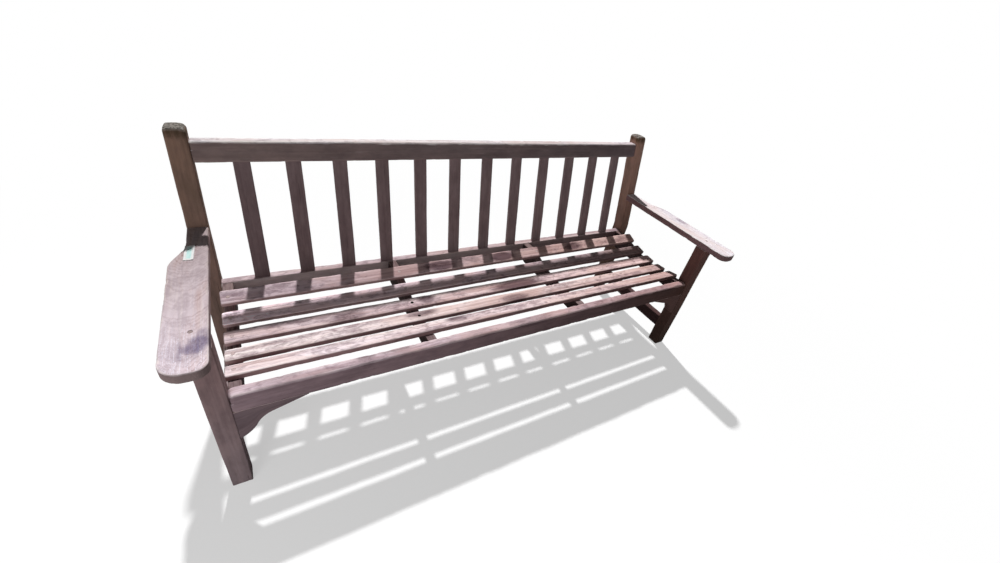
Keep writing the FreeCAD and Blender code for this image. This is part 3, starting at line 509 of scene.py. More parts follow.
def rear_post(node, side, seed, tints):
    """A leg that leans back from its knee up, with its top worn into a dome of open end grain."""
    low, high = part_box(node)
    depth = high.y - knee_shift(high.z) - low.y
    size = (high.z, LEG_WIDTH, depth)
    tops = (TOP_ROUND, TOP_OUTER_ROUND)[::side]

    def shape(points):
        """Along is height, across is to the left and through is forward. The knee shifts the upper part
        back, and the top is a dome: it falls with the square of the distance from its middle."""
        a, b, c = points.T
        height = a + high.z / 2
        off_middle = (b / LEG_WIDTH)**2 + (c / depth)**2
        near_top = smooth_step((height - high.z + DOME_REACH) / DOME_REACH)
        height = height - TOP_CROWN * 2 * off_middle * near_top
        return np.column_stack([side * LEG_MIDDLE - b, low.y + depth / 2 - c + knee_shift(height), height])

    checks = [check for check in split_lines(seed, size, 3, FINE_CHECK_DEPTH)
              if check[1] < high.z / 2 - DOME_CLEAR]
    crust = [(high.z / 2, 0, POST_CRUST, LEG_WIDTH * 4, 0.8)]
    board(node, size, shape, "teak_post", seed, tints, radius=0.0042, chips=0.002,
          corners=(FOOT_ROUND, FOOT_ROUND, *tops), checks=checks, stains=crust, rough=1.3)


def arm(node, side, seed, tints):
    """The arm: a neck at the post, an S out to its swollen width, and a nose with two unlike corners."""
    back = POST_LOW.y + knee_shift(np.array(ARM_TOP)) + BUTT
    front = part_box(node)[0].y
    length, width = float(back - front), LEG_WIDTH + ARM_SWELL
    plug_at = (back + front) / 2 - ARM_PLUG.y
    plug_across = side * (ARM_PLUG.x - LEG_LOW.x - width / 2)

    def shape(points):
        """Along runs forward from the post. Across is squeezed towards the inner side where the arm is
        narrow."""
        a, b, c = points.T
        y = (back + front) / 2 - a
        neck = smooth_step((back - BUTT - ARM_NECK - y) / ARM_CURVE)
        reach = (b * side + width / 2) * (LEG_WIDTH + ARM_SWELL * neck) / width
        lean = c * math.tan(RAKE) * smooth_step(1 - (back - y) / ARM_NECK)
        return np.column_stack([side * (LEG_LOW.x + reach), y + lean, (ARM_LOW + ARM_TOP) / 2 + c])

    nose = (ARM_NOSE, ARM_CORNER)[::side]
    stains = [((back + front) / 2 - y, side * (abs(x) - LEG_LOW.x - width / 2), long, wide, strength)
              for x, y, wide, long, strength in ARM_STAINS if side * x > 0]
    board(node, (length, width, ARM_TOP - ARM_LOW), shape, "teak_arm", seed, tints,
          step=(0.006, 0.003, 0.004), radius=0.0035, corners=(0, 0, *nose), rough=0.7, chips=0.006,
          arches=0.3, stains=stains, bores=[((plug_at, plug_across), PLUG_BORE, PLUG_DEPTH)])


def slat_lie(node):
    """A seat slat's corners in its own tilted frame, and the three ways of that frame: the slat is tangent
    to the dish."""
    low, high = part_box(node)
    middle = (low + high) / 2
    return local_box(node, math.asin((middle.y - DISH_LINE) / (DISH_RADIUS + (high.z - low.z) / 4)))


def seat_slat(number):
    """A seat slat with four plugged bores and fine checks."""
    node, seed = f"seat_slat_{number}", SEEDS["seat_slat"] + number
    near, far, ways = slat_lie(node)
    size = far - near
    spots = [((x, 0.0), PLUG_BORE, PLUG_DEPTH) for x in BEARER_PLACES]
    checks = [check for check in split_lines(seed, size, 7) if abs(check[2]) > PLUG_CLEAR]
    # Dark patches on the slat, partly mildew and partly painted leaf shadow
    stains = [(x, y, reach, size[1] * 0.45, strength)
              for x, y, reach, strength in SEAT_STAINS_AND_LEAF_SHADOWS.get(number, ())]
    tints = [tint for pair in zip(SEAT_SIDE_TINTS, SEAT_TINTS[number]) for tint in pair]
    board(node, size, laid(((near + far) / 2) @ ways, *ways), "teak_seat", seed, tints,
          step=(0.012, 0.003, 0.004), radius=0.0035, rough=1.3, checks=checks, bores=spots, stains=stains,
          chips=0.0025)


def back_slat(number):
    """A flat slat of the back, between the lower rail and the top rail."""
    node, seed = f"back_slat_{number:02d}", SEEDS["back_slat"] + number
    near, far, ways = local_box(node, -RAKE)
    size = (far - near)[[2, 0, 1]]
    centre = ((near + far) / 2) @ ways
    share = np.array([(number - 1) / (BACK_SLATS - 1)])
    tint = tuple(blended(share, BACK_LEFT_TINT, BACK_RIGHT_TINT)[0])
    board(node, size, laid(centre, ways[2], -ways[0], -ways[1]), "teak_back", seed, (tint, PLAIN),
          step=(0.012, 0.003, 0.004), radius=0.002, rough=0.9,
          checks=split_lines(seed, size, 1, FINE_CHECK_DEPTH))


def long_rail(node, turn, radius, tints, rough=1.0, chips=0.002, stains=()):
    """A rail between the end frames, as deep and thick as its node, its ends butted into the legs."""
    near, far, ways = local_box(node, turn)
    size = np.array([INNER_SPAN + 2 * BUTT, far[2] - near[2], far[1] - near[1]])
    middle = np.array([0, (near[1] + far[1]) / 2, (near[2] + far[2]) / 2])
    lay = laid(middle @ ways, ways[0], ways[2], -ways[1])

    def shape(points):
        """Where the rail is raked its top is level, so the upper half shrinks towards its front."""
        a, b, c = points.T
        drop = math.tan(-turn) * (c + size[2] / 2) * np.clip(2 * b / size[1], 0, 1)
        return lay(np.column_stack([a, b - drop, c]))

    spots = [(x, size[1] / 2, reach, RAIL_STAIN_WIDTH, strength) for x, reach, strength in stains]
    board(node, size, shape, "teak_frame", SEEDS[node], tints, step=(0.008, 0.004, 0.004), radius=radius,
          rough=rough, chips=chips, stains=spots)


def side_stretcher(node, side, seed, tints):
    """The low rail between the two legs of an end frame."""
    near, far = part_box(node)
    length = POST_LOW.y - LEG_HIGH.y + 2 * BUTT
    size = (length, far.z - near.z, far.x - near.x)
    centre = (side * LEG_MIDDLE, (POST_LOW.y + LEG_HIGH.y) / 2, (near.z + far.z) / 2)
    board(node, size, laid(centre, (0, side, 0), (0, 0, 1), (side, 0, 0)), "teak_frame", seed, tints,
          step=(0.010, 0.004, 0.004), checks=split_lines(seed, size, 2))


def bracket_drop(along):
    """How far the bracket hangs below the rail: a full nose, a hollow throat and a straight taper."""
    waist, throat = [(place[0], -place[1]) for place in (BRACKET_WAIST, BRACKET_THROAT)]
    nose = arc_height(along, (0, -BRACKET_HEIGHT), waist, BRACKET_NOSE_RADIUS, -1)
    hollow = arc_height(along, waist, throat, BRACKET_THROAT_RADIUS, 1)
    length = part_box("corner_bracket_left")[1].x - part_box("corner_bracket_left")[0].x
    taper = throat[1] * (length - along) / (length - throat[0])
    shape = np.where(along < waist[0], nose, np.where(along < throat[0], hollow, taper))
    return np.maximum(-shape, BRACKET_TIP)


def corner_bracket(node, side, seed, tints):
    """The shaped knee between a front leg and the front rail, run on a little into both."""
    near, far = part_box(node)
    size = (far.x - near.x + BRACKET_BUTT, far.z - near.z, far.y - near.y)
    leg_face, y = side * LEG_LOW.x, (near.y + far.y) / 2

    def shape(points):
        """Along goes to the right, across goes up from the curved edge to the rail, through comes forward."""
        a, b, c = points.T
        reach = size[0] / 2 - side * a - BRACKET_BUTT
        share = b / size[1] + 0.5
        height = far.z + BRACKET_BUTT * share - bracket_drop(np.maximum(reach, 0)) * (1 - share)
        return np.column_stack([leg_face - side * reach, y - c, height])

    board(node, size, shape, "teak_frame", seed, tints, step=(0.005, 0.004, 0.004), radius=0.0025)


def seat_bearer(node, seed):
    """A bearer under the seat: a straight lower edge and a hollow top that the slats lie on."""
    near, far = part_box(node)
    rail_low, rail_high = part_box("front_rail")
    back_low, back_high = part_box("lower_back_rail")
    front, back = rail_high.y - SHORT_BUTT, back_low.y + SHORT_BUTT
    size = (back - front, far.z - near.z, far.x - near.x)
    dish_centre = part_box("seat_slat_3")[1].z + DISH_RADIUS

    def shape(points):
        """Along goes back, across goes up between the two edges, through goes to the right."""
        a, b, c = points.T
        y = (front + back) / 2 + a
        under = DISH_RADIUS + SLAT_BED
        top = dish_centre - np.sqrt(under**2 - (y - DISH_LINE)**2)
        top = np.minimum(top, np.where(y < DISH_LINE, rail_high.z - BEARER_DROP, back_high.z))
        low = np.maximum(rail_low.z, back_low.z - np.maximum(back - y, 0) * BEARER_SLOPE)
        height = low + (top - low) * (b / size[1] + 0.5)
        return np.column_stack([(near.x + far.x) / 2 + c, y, height])

    # The bearers are darkened all over with painted shade
    board(node, size, shape, "teak_frame", seed, (UNDER_SEAT_SHADE, UNDER_SEAT_SHADE), step=(0.010, 0.004, 0.005))


def plugs(node, spots):
    """Turned plugs, each a short round peg with a softly crowned top, at (place, up, sink, tone). A point
    lies at its share of the radius round the middle and at its level along the way up."""
    turns = np.arange(PLUG_SIDES) * 2 * math.pi / PLUG_SIDES
    points, faces, tones, grains = [], [], [], []
    for count, (place, up, sink, tone) in enumerate(spots):
        place, up = np.array(place, float), np.array(up, float)
        side = np.cross(up, (1, 0, 0))
        side /= np.linalg.norm(side)
        circle = np.outer(np.cos(turns), side) + np.outer(np.sin(turns), np.cross(up, side))
        peg = np.concatenate([place + PLUG_RADIUS * share * circle + up * (level - sink)
                              for share, level in PLUG_PROFILE])
        loops = count * len(peg) + np.arange(len(peg)).reshape(-1, PLUG_SIDES)
        faces += grid_quads(closed(loops)).tolist() + [loops[0].tolist(), loops[-1, ::-1].tolist()]
        points.append(peg)
        tones.append(np.full(len(peg), tone))
        grains.append(peg - place + count * np.array(PLUG_SHIFT))
    marks = {"grain": np.concatenate(grains), "tone": np.concatenate(tones)}
    mesh = marked_mesh(f"{node}_turned", np.concatenate(points), faces, marks)
    settle(f"{node}_turned", mesh, "teak_plug", node)


def blank_strip():
    """A strip of faded tape on the left arm's neck: a grid that lies on the wood, curls up a little towards
    its corners, and gets its thickness from a Solidify modifier."""
    (x, y), (wide, long, thick), (rows, columns) = STRIP_MIDDLE, STRIP_SIZE, STRIP_GRID
    places = np.linspace(-1, 1, rows), np.linspace(-1, 1, columns)
    u, v = [part.ravel() for part in np.meshgrid(*places, indexing="ij")]
    ripple = lattice_noise(np.column_stack([u * 2, v * 4, u]), 5)
    height = ARM_TOP + (STRIP_CURL * np.abs(u * v)**5 + STRIP_RIPPLE * ripple) + STRIP_GAP
    points = np.column_stack([x + u * wide / 2 + v * STRIP_SKEW, y + v * long / 2, height])
    quads = grid_quads(np.arange(rows * columns).reshape(rows, columns))
    rim = np.maximum(smooth_step((np.abs(u) - 0.35) / 0.25), smooth_step((np.abs(v) - 0.7) / 0.15))
    strip = settle("arm_strip", marked_mesh("arm_strip", points, quads.tolist(), {"tone": rim}), "teak_arm")
    strip.data.materials[0] = TAPE
    solid = strip.modifiers.new("thickness", "SOLIDIFY")
    solid.thickness, solid.offset = thick, 1.0


# Finishes

def colour(red, green, blue):
    """A colour written in display steps from 0 to 255, as the linear values that a shader takes."""
    steps = np.array([red, green, blue]) / 255
    linear = np.where(steps <= 0.04045, steps / 12.92, ((steps + 0.055) / 1.055)**2.4)
    return (*linear.tolist(), 1.0)


# Teak that looks up, with its patches and its worn edges, and teak that is sheltered, pale and dark. The
# sheltered colours are browner wood and also painted shade, the upward ones silvered wood and painted light.
SILVER, PINK, CREAM = colour(218, 201, 203), colour(209, 184, 180), colour(230, 214, 207)
BROWN, DARK, RED_WOOD = colour(140, 121, 121), colour(121, 103, 103), colour(150, 112, 102)
ARM_SIDE, ARM_SIDE_DARK = colour(172, 150, 148), colour(142, 121, 119)
POST_SIDE, POST_SIDE_DARK = colour(134, 114, 105), colour(110, 94, 84)
# What tints it darker: growth rings, streaks, fibres, mould, and stains, which on the seat are partly painted
# leaf shadows
RING_SHADE, STREAK_SHADE = colour(204, 191, 189), colour(212, 201, 200)
FIBRE_SHADE, MOULD_SHADE = colour(188, 175, 173), colour(156, 141, 146)
STAIN_AND_LEAF_SHADOW, ARM_BLUE, POST_STAIN = colour(118, 104, 112), colour(142, 136, 162), colour(128, 132, 112)
# What lies over it or shows in it: algae, bleached fibres, lichen, open end grain, and the painted shade in
# splits and bores
ALGAE, FROST = colour(98, 90, 62), colour(238, 232, 238)
LICHEN_DARK, LICHEN_PALE = colour(50, 48, 42), colour(154, 150, 145)
OPEN_GRAIN, PAINTED_SPLIT_SHADE, PAINTED_BORE_SHADE = colour(84, 72, 68), colour(52, 42, 40), colour(38, 30, 28)


class Number:
    """A number that varies over a surface: sums on it add Math nodes."""

    def __init__(self, graph, socket):
        self.graph, self.socket = graph, socket

    def joined(self, operation, first, second):
        node = self.graph.node("ShaderNodeMath", {"operation": operation}, {0: first, 1: second})
        return Number(self.graph, node.outputs[0])

    def __add__(self, other):
        return self.joined("ADD", self, other)

    def __sub__(self, other):
        return self.joined("SUBTRACT", self, other)

    def __mul__(self, other):
        return self.joined("MULTIPLY", self, other)

    def __rsub__(self, other):
        return self.joined("SUBTRACT", other, self)

    def sine(self):
        return self.joined("SINE", self, 0.0)

    __radd__, __rmul__ = __add__, __mul__


class Graph:
    """The nodes of a material, or of the sky, under construction."""

    def __init__(self, owner):
        self.owner = owner
        owner.use_nodes = True
        self.tree = owner.node_tree
        self.tree.nodes.clear()

    def node(self, kind, settings=None, sockets=None):
        """Add a node: its settings first, then a value or a link for each socket."""
        made = self.tree.nodes.new(kind)
        for label, value in (settings or {}).items():
            setattr(made, label, value)
        for label, value in (sockets or {}).items():
            value = value.socket if isinstance(value, Number) else value
            if isinstance(value, bpy.types.NodeSocket):
                self.tree.links.new(value, made.inputs[label])
            else:
                made.inputs[label].default_value = value
        return made

    def mark(self, label):
        """A number that rides on the piece's points."""
        return Number(self, self.node("ShaderNodeAttribute", {"attribute_name": label}).outputs["Fac"])

    def triple(self, label):
        """A place or a tint that rides on the piece's points."""
        return self.node("ShaderNodeAttribute", {"attribute_name": label}).outputs["Vector"]

    def own_place(self):
        """The place in the piece's own space."""
        return self.node("ShaderNodeTexCoord").outputs["Object"]

    def noise(self, place, stretch, detail=4.0, roughness=0.55, distortion=0.0):
        """Noise from 0 to 1 at a place, with so many waves to the metre along, across and through."""
        scaled = self.node("ShaderNodeVectorMath", {"operation": "MULTIPLY"}, {0: place, 1: stretch})
        made = self.node("ShaderNodeTexNoise", None, {
            "Vector": scaled.outputs[0], "Scale": 1.0, "Detail": detail, "Roughness": roughness,
            "Distortion": distortion})
        return Number(self, made.outputs["Fac"])

    def ramp(self, value, low, high, to_low=0.0, to_high=1.0):
        """A smooth step of a number from one range to another."""
        made = self.node("ShaderNodeMapRange", {"interpolation_type": "SMOOTHSTEP"}, {
            "Value": value, "From Min": low, "From Max": high, "To Min": to_low, "To Max": to_high})
        return Number(self, made.outputs["Result"])

    def mix(self, factor, first, second, blend="MIX"):
        """One colour over another."""
        made = self.node("ShaderNodeMix", {"data_type": "RGBA", "blend_type": blend, "clamp_factor": True},
                         {0: factor, 6: first, 7: second})
        return made.outputs[2]

    def close(self, base, roughness, height, strength, distance, metallic=0.0, specular=0.12):
        """The surface itself: a colour, a roughness and a bump."""
        bump = self.node("ShaderNodeBump", None,
                         {"Strength": strength, "Distance": distance, "Height": height})
        surface = self.node("ShaderNodeBsdfPrincipled", None, {
            "Base Color": base, "Roughness": roughness, "Metallic": metallic, "Normal": bump.outputs[0],
            "Specular IOR Level": specular})
        self.node("ShaderNodeOutputMaterial", None, {"Surface": surface.outputs[0]})
        return self.owner


class Wood(Graph):
    """A material of old teak, with the noises that follow its grain, how far it looks up, which silvers it by
    weathering and brightens it with painted light, and how strongly its figure shows."""

    def __init__(self, name, bleach_and_light):
        super().__init__(bpy.data.materials.new(name))
        grain = self.triple("grain")
        self.hair = self.noise(grain, (30, 1300, 1300), 3.0)
        self.fibre = self.noise(grain, (12, 420, 420), 4.0, 0.6)
        self.streak = self.noise(grain, (2.5, 70, 70), 4.0, 0.6, 0.3)
        self.cloud = self.noise(grain, (9, 24, 24), 5.0, 0.6)
        self.patch = self.noise(grain, (4, 16, 16), 6.0, 0.65, 0.6)
        self.blotch = self.noise(grain, (26, 44, 44), 3.0, 0.6, 0.8)
        self.speckle = self.noise(grain, (70, 160, 160), 5.0, 0.7)
        self.open_grain, self.coarse = [self.noise(grain, (waves,) * 3, 5.0, 0.7) for waves in (350, 130)]
        self.end = self.mark("end")
        normal = self.node("ShaderNodeNewGeometry").outputs["Normal"]
        up = Number(self, self.node("ShaderNodeSeparateXYZ", None, {0: normal}).outputs["Z"])
        # Faces that look up are silvered by weather and brightened with painted light; sheltered faces are
        # browner and darkened with painted shade
        self.bleached_and_lit = self.ramp(up + (self.cloud - 0.5) * 0.3, 0.26, 0.55, 0.0, bleach_and_light)
        self.figure = self.bleached_and_lit * 0.8 + 0.2

    def late_wood(self, wander):
        """The dark half of each growth ring: a sine of the distance from the heart, which noise sets to
        wander, plus noise along that distance, so that no two rings are alike."""
        wavy = self.mark("rings") + (self.cloud - 0.5) * wander + (self.speckle - 0.5) * wander * 0.3
        row = self.node("ShaderNodeCombineXYZ", None, {0: wavy}).outputs[0]
        uneven = self.noise(row, (1 / RING_PITCH, 1, 1), 2.0, 0.6)
        wave = (wavy * (2 * math.pi / RING_PITCH)).sine() * 0.45 + (uneven - 0.5) * 3.5
        return self.ramp(wave, -0.3, 1.0)

    def cover(self, mask, tone, blend="MIX"):
        """Lay a colour over the base so far."""
        self.base = self.mix(mask, self.base, tone, blend)

    def darken(self, mask, tint):
        """Tint the base so far."""
        self.cover(mask, tint, "MULTIPLY")

    def colour_plain(self, side, side_dark, red):
        """Brown where the board is sheltered and silvered where it looks up: partly weathering, and partly
        painted
         shade on the sides and painted light on the tops.
        """
        self.base = self.mix(self.ramp(self.cloud * 0.7 + self.streak * 0.3, 0.35, 0.65), side_dark, side)
        if red:
            self.cover(self.ramp(self.cloud, 0.4, 0.75, 0.0, red), RED_WOOD)
        # Tops silvered by weather and lightened with painted light, over sides darkened with painted shade
        self.cover(self.bleached_and_lit, self.mix(self.ramp(self.patch, 0.40, 0.66), SILVER, PINK))

    def draw_figure(self, late_wood, ringed, streaks):
        """Growth rings, streaks, fibres and fine pale hairs."""
        ring = late_wood * self.ramp(self.patch, 0.34, 0.6, 0.3, 1.0) * self.figure * ringed
        self.darken(ring, RING_SHADE)
        self.darken(self.ramp(self.streak, 0.56, 0.34, 0.0, 0.8 * streaks) * self.figure, STREAK_SHADE)
        self.darken(self.ramp(self.fibre, 0.54, 0.78, 0.0, 0.8 * streaks) * self.figure, FIBRE_SHADE)
        self.cover(self.ramp(self.hair, 0.52, 0.8, 0.0, 0.3 * streaks) * self.figure, SILVER)
        self.cover(self.ramp(self.streak, 0.5, 0.72, 0.0, 0.6) * self.bleached_and_lit, CREAM)

    def grow_over(self, mould, green, frost, worn):
        """Mould in blotches, algae, bleached fibres towards the far end, and pale worn edges."""
        blotch = self.patch * 0.5 + self.blotch * 0.5
        damp = self.ramp(blotch, 0.53, 0.39, 0.0, mould) * self.ramp(self.speckle, 0.36, 0.6, 0.6, 1.0)
        self.darken(damp * self.figure, MOULD_SHADE)
        if green:
            self.cover(self.ramp(self.cloud, 0.45, 0.7, 0.0, green), ALGAE)
        if frost:
            flecks = self.ramp((self.fibre + self.open_grain) * 0.5, 0.5, 0.6, 0.0, frost)
            self.cover(flecks * self.ramp(self.mark("far"), 0.55, 0.95) * self.bleached_and_lit, FROST)
        edge = self.ramp(self.mark("edge"), 0.1, 0.9) * self.ramp(self.cloud, 0.3, 0.6)
        self.cover(edge * (self.bleached_and_lit * worn + 0.05), CREAM)

    def age_ends(self, side, stain, lichen):
        """Open end grain, then stains with ragged edges, which on the seat are partly painted leaf shadows,
        then lichen on the end grain.
        """
        self.cover(self.ramp(self.end, 0.3, 0.8, 0.0, 0.7), self.mix(self.open_grain, OPEN_GRAIN, side))
        smear = self.mark("stain") + (self.speckle - 0.5) * 0.5 + (self.patch - 0.5) * 0.6
        self.darken(self.ramp(smear + (self.streak - 0.5) * 1.5, 0.1, 1.1, 0.0, 0.95), stain)
        if lichen:
            crust = self.ramp(self.end + (self.coarse - 0.5) * 1.2, 0.45, 0.8, 0.0, lichen)
            spotted = self.ramp((self.open_grain + self.coarse) * 0.5, 0.44, 0.58)
            self.cover(crust, self.mix(spotted, LICHEN_DARK, LICHEN_PALE))


def weathered_teak(name, side=BROWN, side_dark=DARK, stain=STAIN_AND_LEAF_SHADOW, bleach_and_light=1.0, mould=0.4, green=0.0,
                   lichen=0.0, red=0.0, streaks=1.0, frost=0.0, wander=0.006, ringed=0.5, worn=0.3):
    """Old teak: brown where it is sheltered, silvered where it looks up, partly by weathering and partly as
    painted shade and light, with growth rings, fine fibres, mould in patches, stains and on the seat painted
    leaf shadows, pale worn arrises, each board's tints of tone and painted light, painted shade in splits and
    bores, and open end grain."""
    wood = Wood(name, bleach_and_light)
    late_wood = wood.late_wood(wander)
    wood.colour_plain(side, side_dark, red)
    wood.draw_figure(late_wood, ringed, streaks)
    wood.grow_over(mould, green, frost, worn)
    wood.age_ends(side, stain, lichen)
    # Each board's tints: its own tone, and painted light and shade set by how brightly it was lit
    wood.darken(1.0, wood.mix(wood.bleached_and_lit, wood.triple("shade_tint"), wood.triple("sky_tint")))
    # Painted shade in the checks and in the bores round the plugs
    wood.cover(wood.ramp(wood.mark("split"), 0.2, 0.8, 0.0, 0.75), PAINTED_SPLIT_SHADE)
    wood.cover(wood.mark("bored"), PAINTED_BORE_SHADE)
    fibres = wood.fibre * 0.55 + wood.hair * 0.25 + wood.streak * 0.35
    fibres = fibres * (wood.figure * 0.7 + 0.3) * streaks
    height = fibres - late_wood * 0.12 + wood.open_grain * wood.end * 0.9
    return wood.close(wood.base, wood.ramp(wood.cloud, 0.2, 0.8, 0.74, 0.94), height, 0.5, 0.0011)


def plug_wood(name):
    """A small plug's end of cross-cut teak, greyed like the board round it or, by its tone, nearly black as
    painted shade in a deep hole.
    """
    finish = Graph(bpy.data.materials.new(name))
    fleck = finish.noise(finish.triple("grain"), (260, 1100, 260), 4.0)
    base = finish.mix(finish.ramp(fleck, 0.3, 0.7), colour(168, 148, 146), colour(212, 190, 188))
    # Painted shade: a deeply sunk plug is nearly black
    base = finish.mix(finish.ramp(finish.mark("tone"), 0.0, -1.0), base, colour(38, 31, 30))
    return finish.close(base, 0.9, fleck, 0.5, 0.0006)


def faded_tape(name):
    """Sun-bleached tape: an off-white border round a pale blue-green middle, with faint creases."""
    finish = Graph(bpy.data.materials.new(name))
    crease = finish.noise(finish.own_place(), (160, 60, 160), 4.0)
    middle = finish.mix(finish.ramp(crease, 0.3, 0.7), colour(176, 214, 212), colour(198, 226, 222))
    border = finish.mix(finish.ramp(crease, 0.35, 0.75), colour(226, 226, 226), colour(212, 210, 208))
    return finish.close(finish.mix(finish.mark("tone"), middle, border), 0.5, crease, 0.25, 0.0006)


def hidden_wood(name):
    """Plain turned dowel wood, seen only where a joint is opened."""
    finish = Graph(bpy.data.materials.new(name))
    fibre = finish.noise(finish.own_place(), (300, 300, 30), 4.0)
    base = finish.mix(finish.ramp(fibre, 0.3, 0.7), colour(150, 118, 84), colour(196, 164, 122))
    return finish.close(base, 0.7, fibre, 0.3, 0.0005)


def dull_brass(name):
    """Brass screws gone brown."""
    finish = Graph(bpy.data.materials.new(name))
    stain = finish.noise(finish.own_place(), (400, 400, 400), 4.0)
    base = finish.mix(finish.ramp(stain, 0.35, 0.7), colour(120, 92, 52), colour(178, 146, 84))
    return finish.close(base, finish.ramp(stain, 0.3, 0.7, 0.35, 0.6), stain, 0.2, 0.0002, 1.0, 0.5)


FINISHES = {
    "teak_frame": weathered_teak("weathered_frame", mould=0.6, red=0.1),
    "teak_seat": weathered_teak("weathered_seat", mould=0.75),
    "teak_back": weathered_teak("weathered_back"),
    "teak_arm": weathered_teak("weathered_arm", ARM_SIDE, ARM_SIDE_DARK, ARM_BLUE, mould=0.35, streaks=0.2,
                               frost=0.7, wander=0.016, ringed=0.75, worn=0.7),
    "teak_post": weathered_teak("weathered_post", POST_SIDE, POST_SIDE_DARK, POST_STAIN, bleach_and_light=0.7,
                                green=0.22, lichen=0.95, red=0.2, streaks=0.5),
    "teak_plug": plug_wood("plug_wood"),
    "dowel_wood": hidden_wood("dowel_wood"),
    "screw_brass": dull_brass("dull_brass"),
}
TAPE = faded_tape("faded_tape")
HIDDEN = {"seat_screws": "screw_brass", "arm_screws": "screw_brass", "bracket_dowels": "dowel_wood"}


# The bench and what stands round it

def seat_plug_spots():
    """Where the seat's plugs lie: on the top of each slat, over each bearer."""
    for number in range(1, SEAT_SLATS + 1):
        near, far, ways = slat_lie(f"seat_slat_{number}")
        for count, x in enumerate(BEARER_PLACES):
            place = np.array([x, (near[1] + far[1]) / 2, far[2]]) @ ways
            yield place, ways[2], *SUNK_PLUGS.get((number, count), SEAT_PLUG)


def build_bench():
    """Every board and plug of the bench, and the finish of the pieces that keep their CAD shape."""
    kinds = {"front_leg": (front_leg, LEG_TINTS), "rear_post": (rear_post, POST_TINTS),
             "arm": (arm, ARM_TINTS), "side_stretcher": (side_stretcher, STRETCHER_TINTS),
             "corner_bracket": (corner_bracket, BRACKET_TINTS)}
    for name, side in SIDES.items():
        for kind, (build, tints) in kinds.items():
            build(f"{kind}_{name}", side, SEEDS[kind] + side + 1, tints[name])
    long_rail("front_rail", 0.0, (0.0095, 0.0025), FRONT_RAIL_TINTS, rough=1.5, chips=0.003,
              stains=RAIL_STAINS)
    long_rail("lower_back_rail", 0.0, 0.0025, LOWER_RAIL_TINTS, chips=0.004)
    long_rail("top_rail", -RAKE, (0.0060, 0.004), TOP_RAIL_TINTS, rough=0.8, chips=0.005)
    for count, name in enumerate(BEARERS):
        seat_bearer(name, SEEDS["bearer"] + count)
    for number in range(1, SEAT_SLATS + 1):
        seat_slat(number)
    for number in range(1, BACK_SLATS + 1):
        back_slat(number)
    plugs("seat_plugs", seat_plug_spots())
    blank_strip()
    plugs("arm_plugs", [((side * ARM_PLUG.x, ARM_PLUG.y, ARM_TOP), (0, 0, 1), *ARM_PLUGS[name])
                        for name, side in SIDES.items()])
    for node, finish in HIDDEN.items():
        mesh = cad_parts[node].data
        mesh.materials.clear()
        mesh.materials.append(FINISHES[finish])


def pale_floor():
    """A pale floor that keeps the shadow near the bench and fades to white further off."""
    ground = Graph(bpy.data.materials.new("pale_floor"))
    away = ground.node("ShaderNodeVectorMath", {"operation": "LENGTH"}, {0: ground.own_place()})
    seen = Number(ground, ground.node("ShaderNodeLightPath").outputs["Is Camera Ray"])
    dim, pale = [(level, level, level, 1) for level in (FLOOR_BOUNCE, FLOOR_PALE)]
    matt = ground.node("ShaderNodeBsdfDiffuse", None, {"Color": ground.mix(seen, dim, pale)})
    glow = ground.node("ShaderNodeEmission", None, {"Color": WHITE, "Strength": 1.0})
    fade = ground.ramp(away.outputs["Value"], *FLOOR_FADE, FLOOR_GLOW, 1.0) * seen
    both = ground.node("ShaderNodeMixShader", None, {0: fade, 1: matt.outputs[0], 2: glow.outputs[0]})
    ground.node("ShaderNodeOutputMaterial", None, {"Surface": both.outputs[0]})
    mesh = bpy.data.meshes.new("floor")
    corners = [(x * FLOOR_SIZE / 2, y * FLOOR_SIZE / 2, 0) for x, y in ((-1, -1), (1, -1), (1, 1), (-1, 1))]
    mesh.from_pydata(corners, [], [(0, 1, 2, 3)])
    mesh.materials.append(ground.owner)
    floor = shown("floor", mesh)


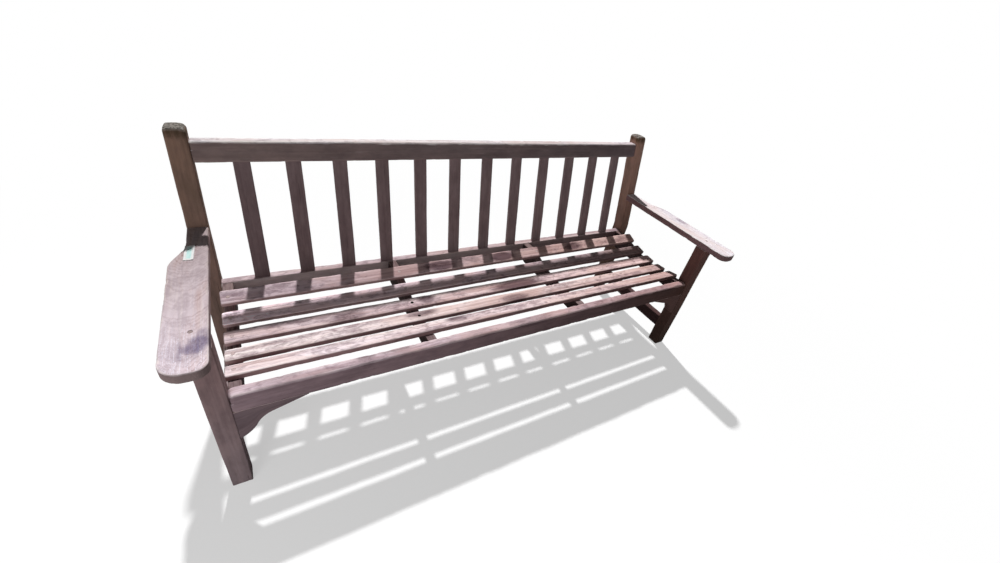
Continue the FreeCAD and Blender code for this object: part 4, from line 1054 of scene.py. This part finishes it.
def plain_sky():
    """A sky that looks white, straight on and in a gloss, and lights the bench only faintly."""
    sky = Graph(bpy.data.worlds.new("sky"))
    bpy.context.scene.world = sky.owner
    path = sky.node("ShaderNodeLightPath")
    seen = sky.node("ShaderNodeMath", {"operation": "MAXIMUM"},
                    {0: path.outputs["Is Camera Ray"], 1: path.outputs["Is Glossy Ray"]})
    strength = sky.node("ShaderNodeMix", None, {0: seen.outputs[0], 2: SKY_STRENGTH, 3: 1.0})
    light = sky.node("ShaderNodeBackground", None, {"Color": WHITE, "Strength": strength.outputs[0]})
    sky.node("ShaderNodeOutputWorld", None, {0: light.outputs[0]})


def lamps():
    """The key, whose rays are parallel, and the fill, a panel that the camera doesn't see."""
    key = bpy.data.lights.new("key", "SUN")
    key.angle, key.energy = KEY_SPREAD, KEY_STRENGTH
    shown("key", key).rotation_euler = Vector(KEY_WAY).to_track_quat("Z", "Y").to_euler()
    fill = bpy.data.lights.new("fill", "AREA")
    fill.size, fill.energy = FILL_SIZE, FILL_POWER
    panel = shown("fill", fill)
    panel.location = FILL_PLACE
    panel.rotation_euler = (Vector(FILL_PLACE) - Vector(FILL_AIM)).to_track_quat("Z", "Y").to_euler()
    panel.visible_camera = False


def photo_camera():
    """The camera as it stood for the photograph: turned by its heading, its tilt and its roll."""
    camera = bpy.data.cameras.new("camera")
    camera.sensor_width = SENSOR_WIDTH
    camera.lens = FOCAL_PIXELS / PHOTO_WIDTH * SENSOR_WIDTH
    eye = shown("camera", camera)
    turn = (Matrix.Rotation(CAMERA_HEADING, 3, "Z") @ Matrix.Rotation(CAMERA_TILT, 3, "X")
            @ Matrix.Rotation(CAMERA_ROLL, 3, "Y"))
    right, forward, upward = turn.col
    stand = Matrix((right, upward, -forward)).transposed().to_4x4()
    eye.matrix_world = Matrix.Translation(CAMERA_PLACE) @ stand
    bpy.context.scene.camera = eye
    bpy.context.scene.view_settings.view_transform = "Standard"


build_bench()
pale_floor()
plain_sky()
lamps()
photo_camera()
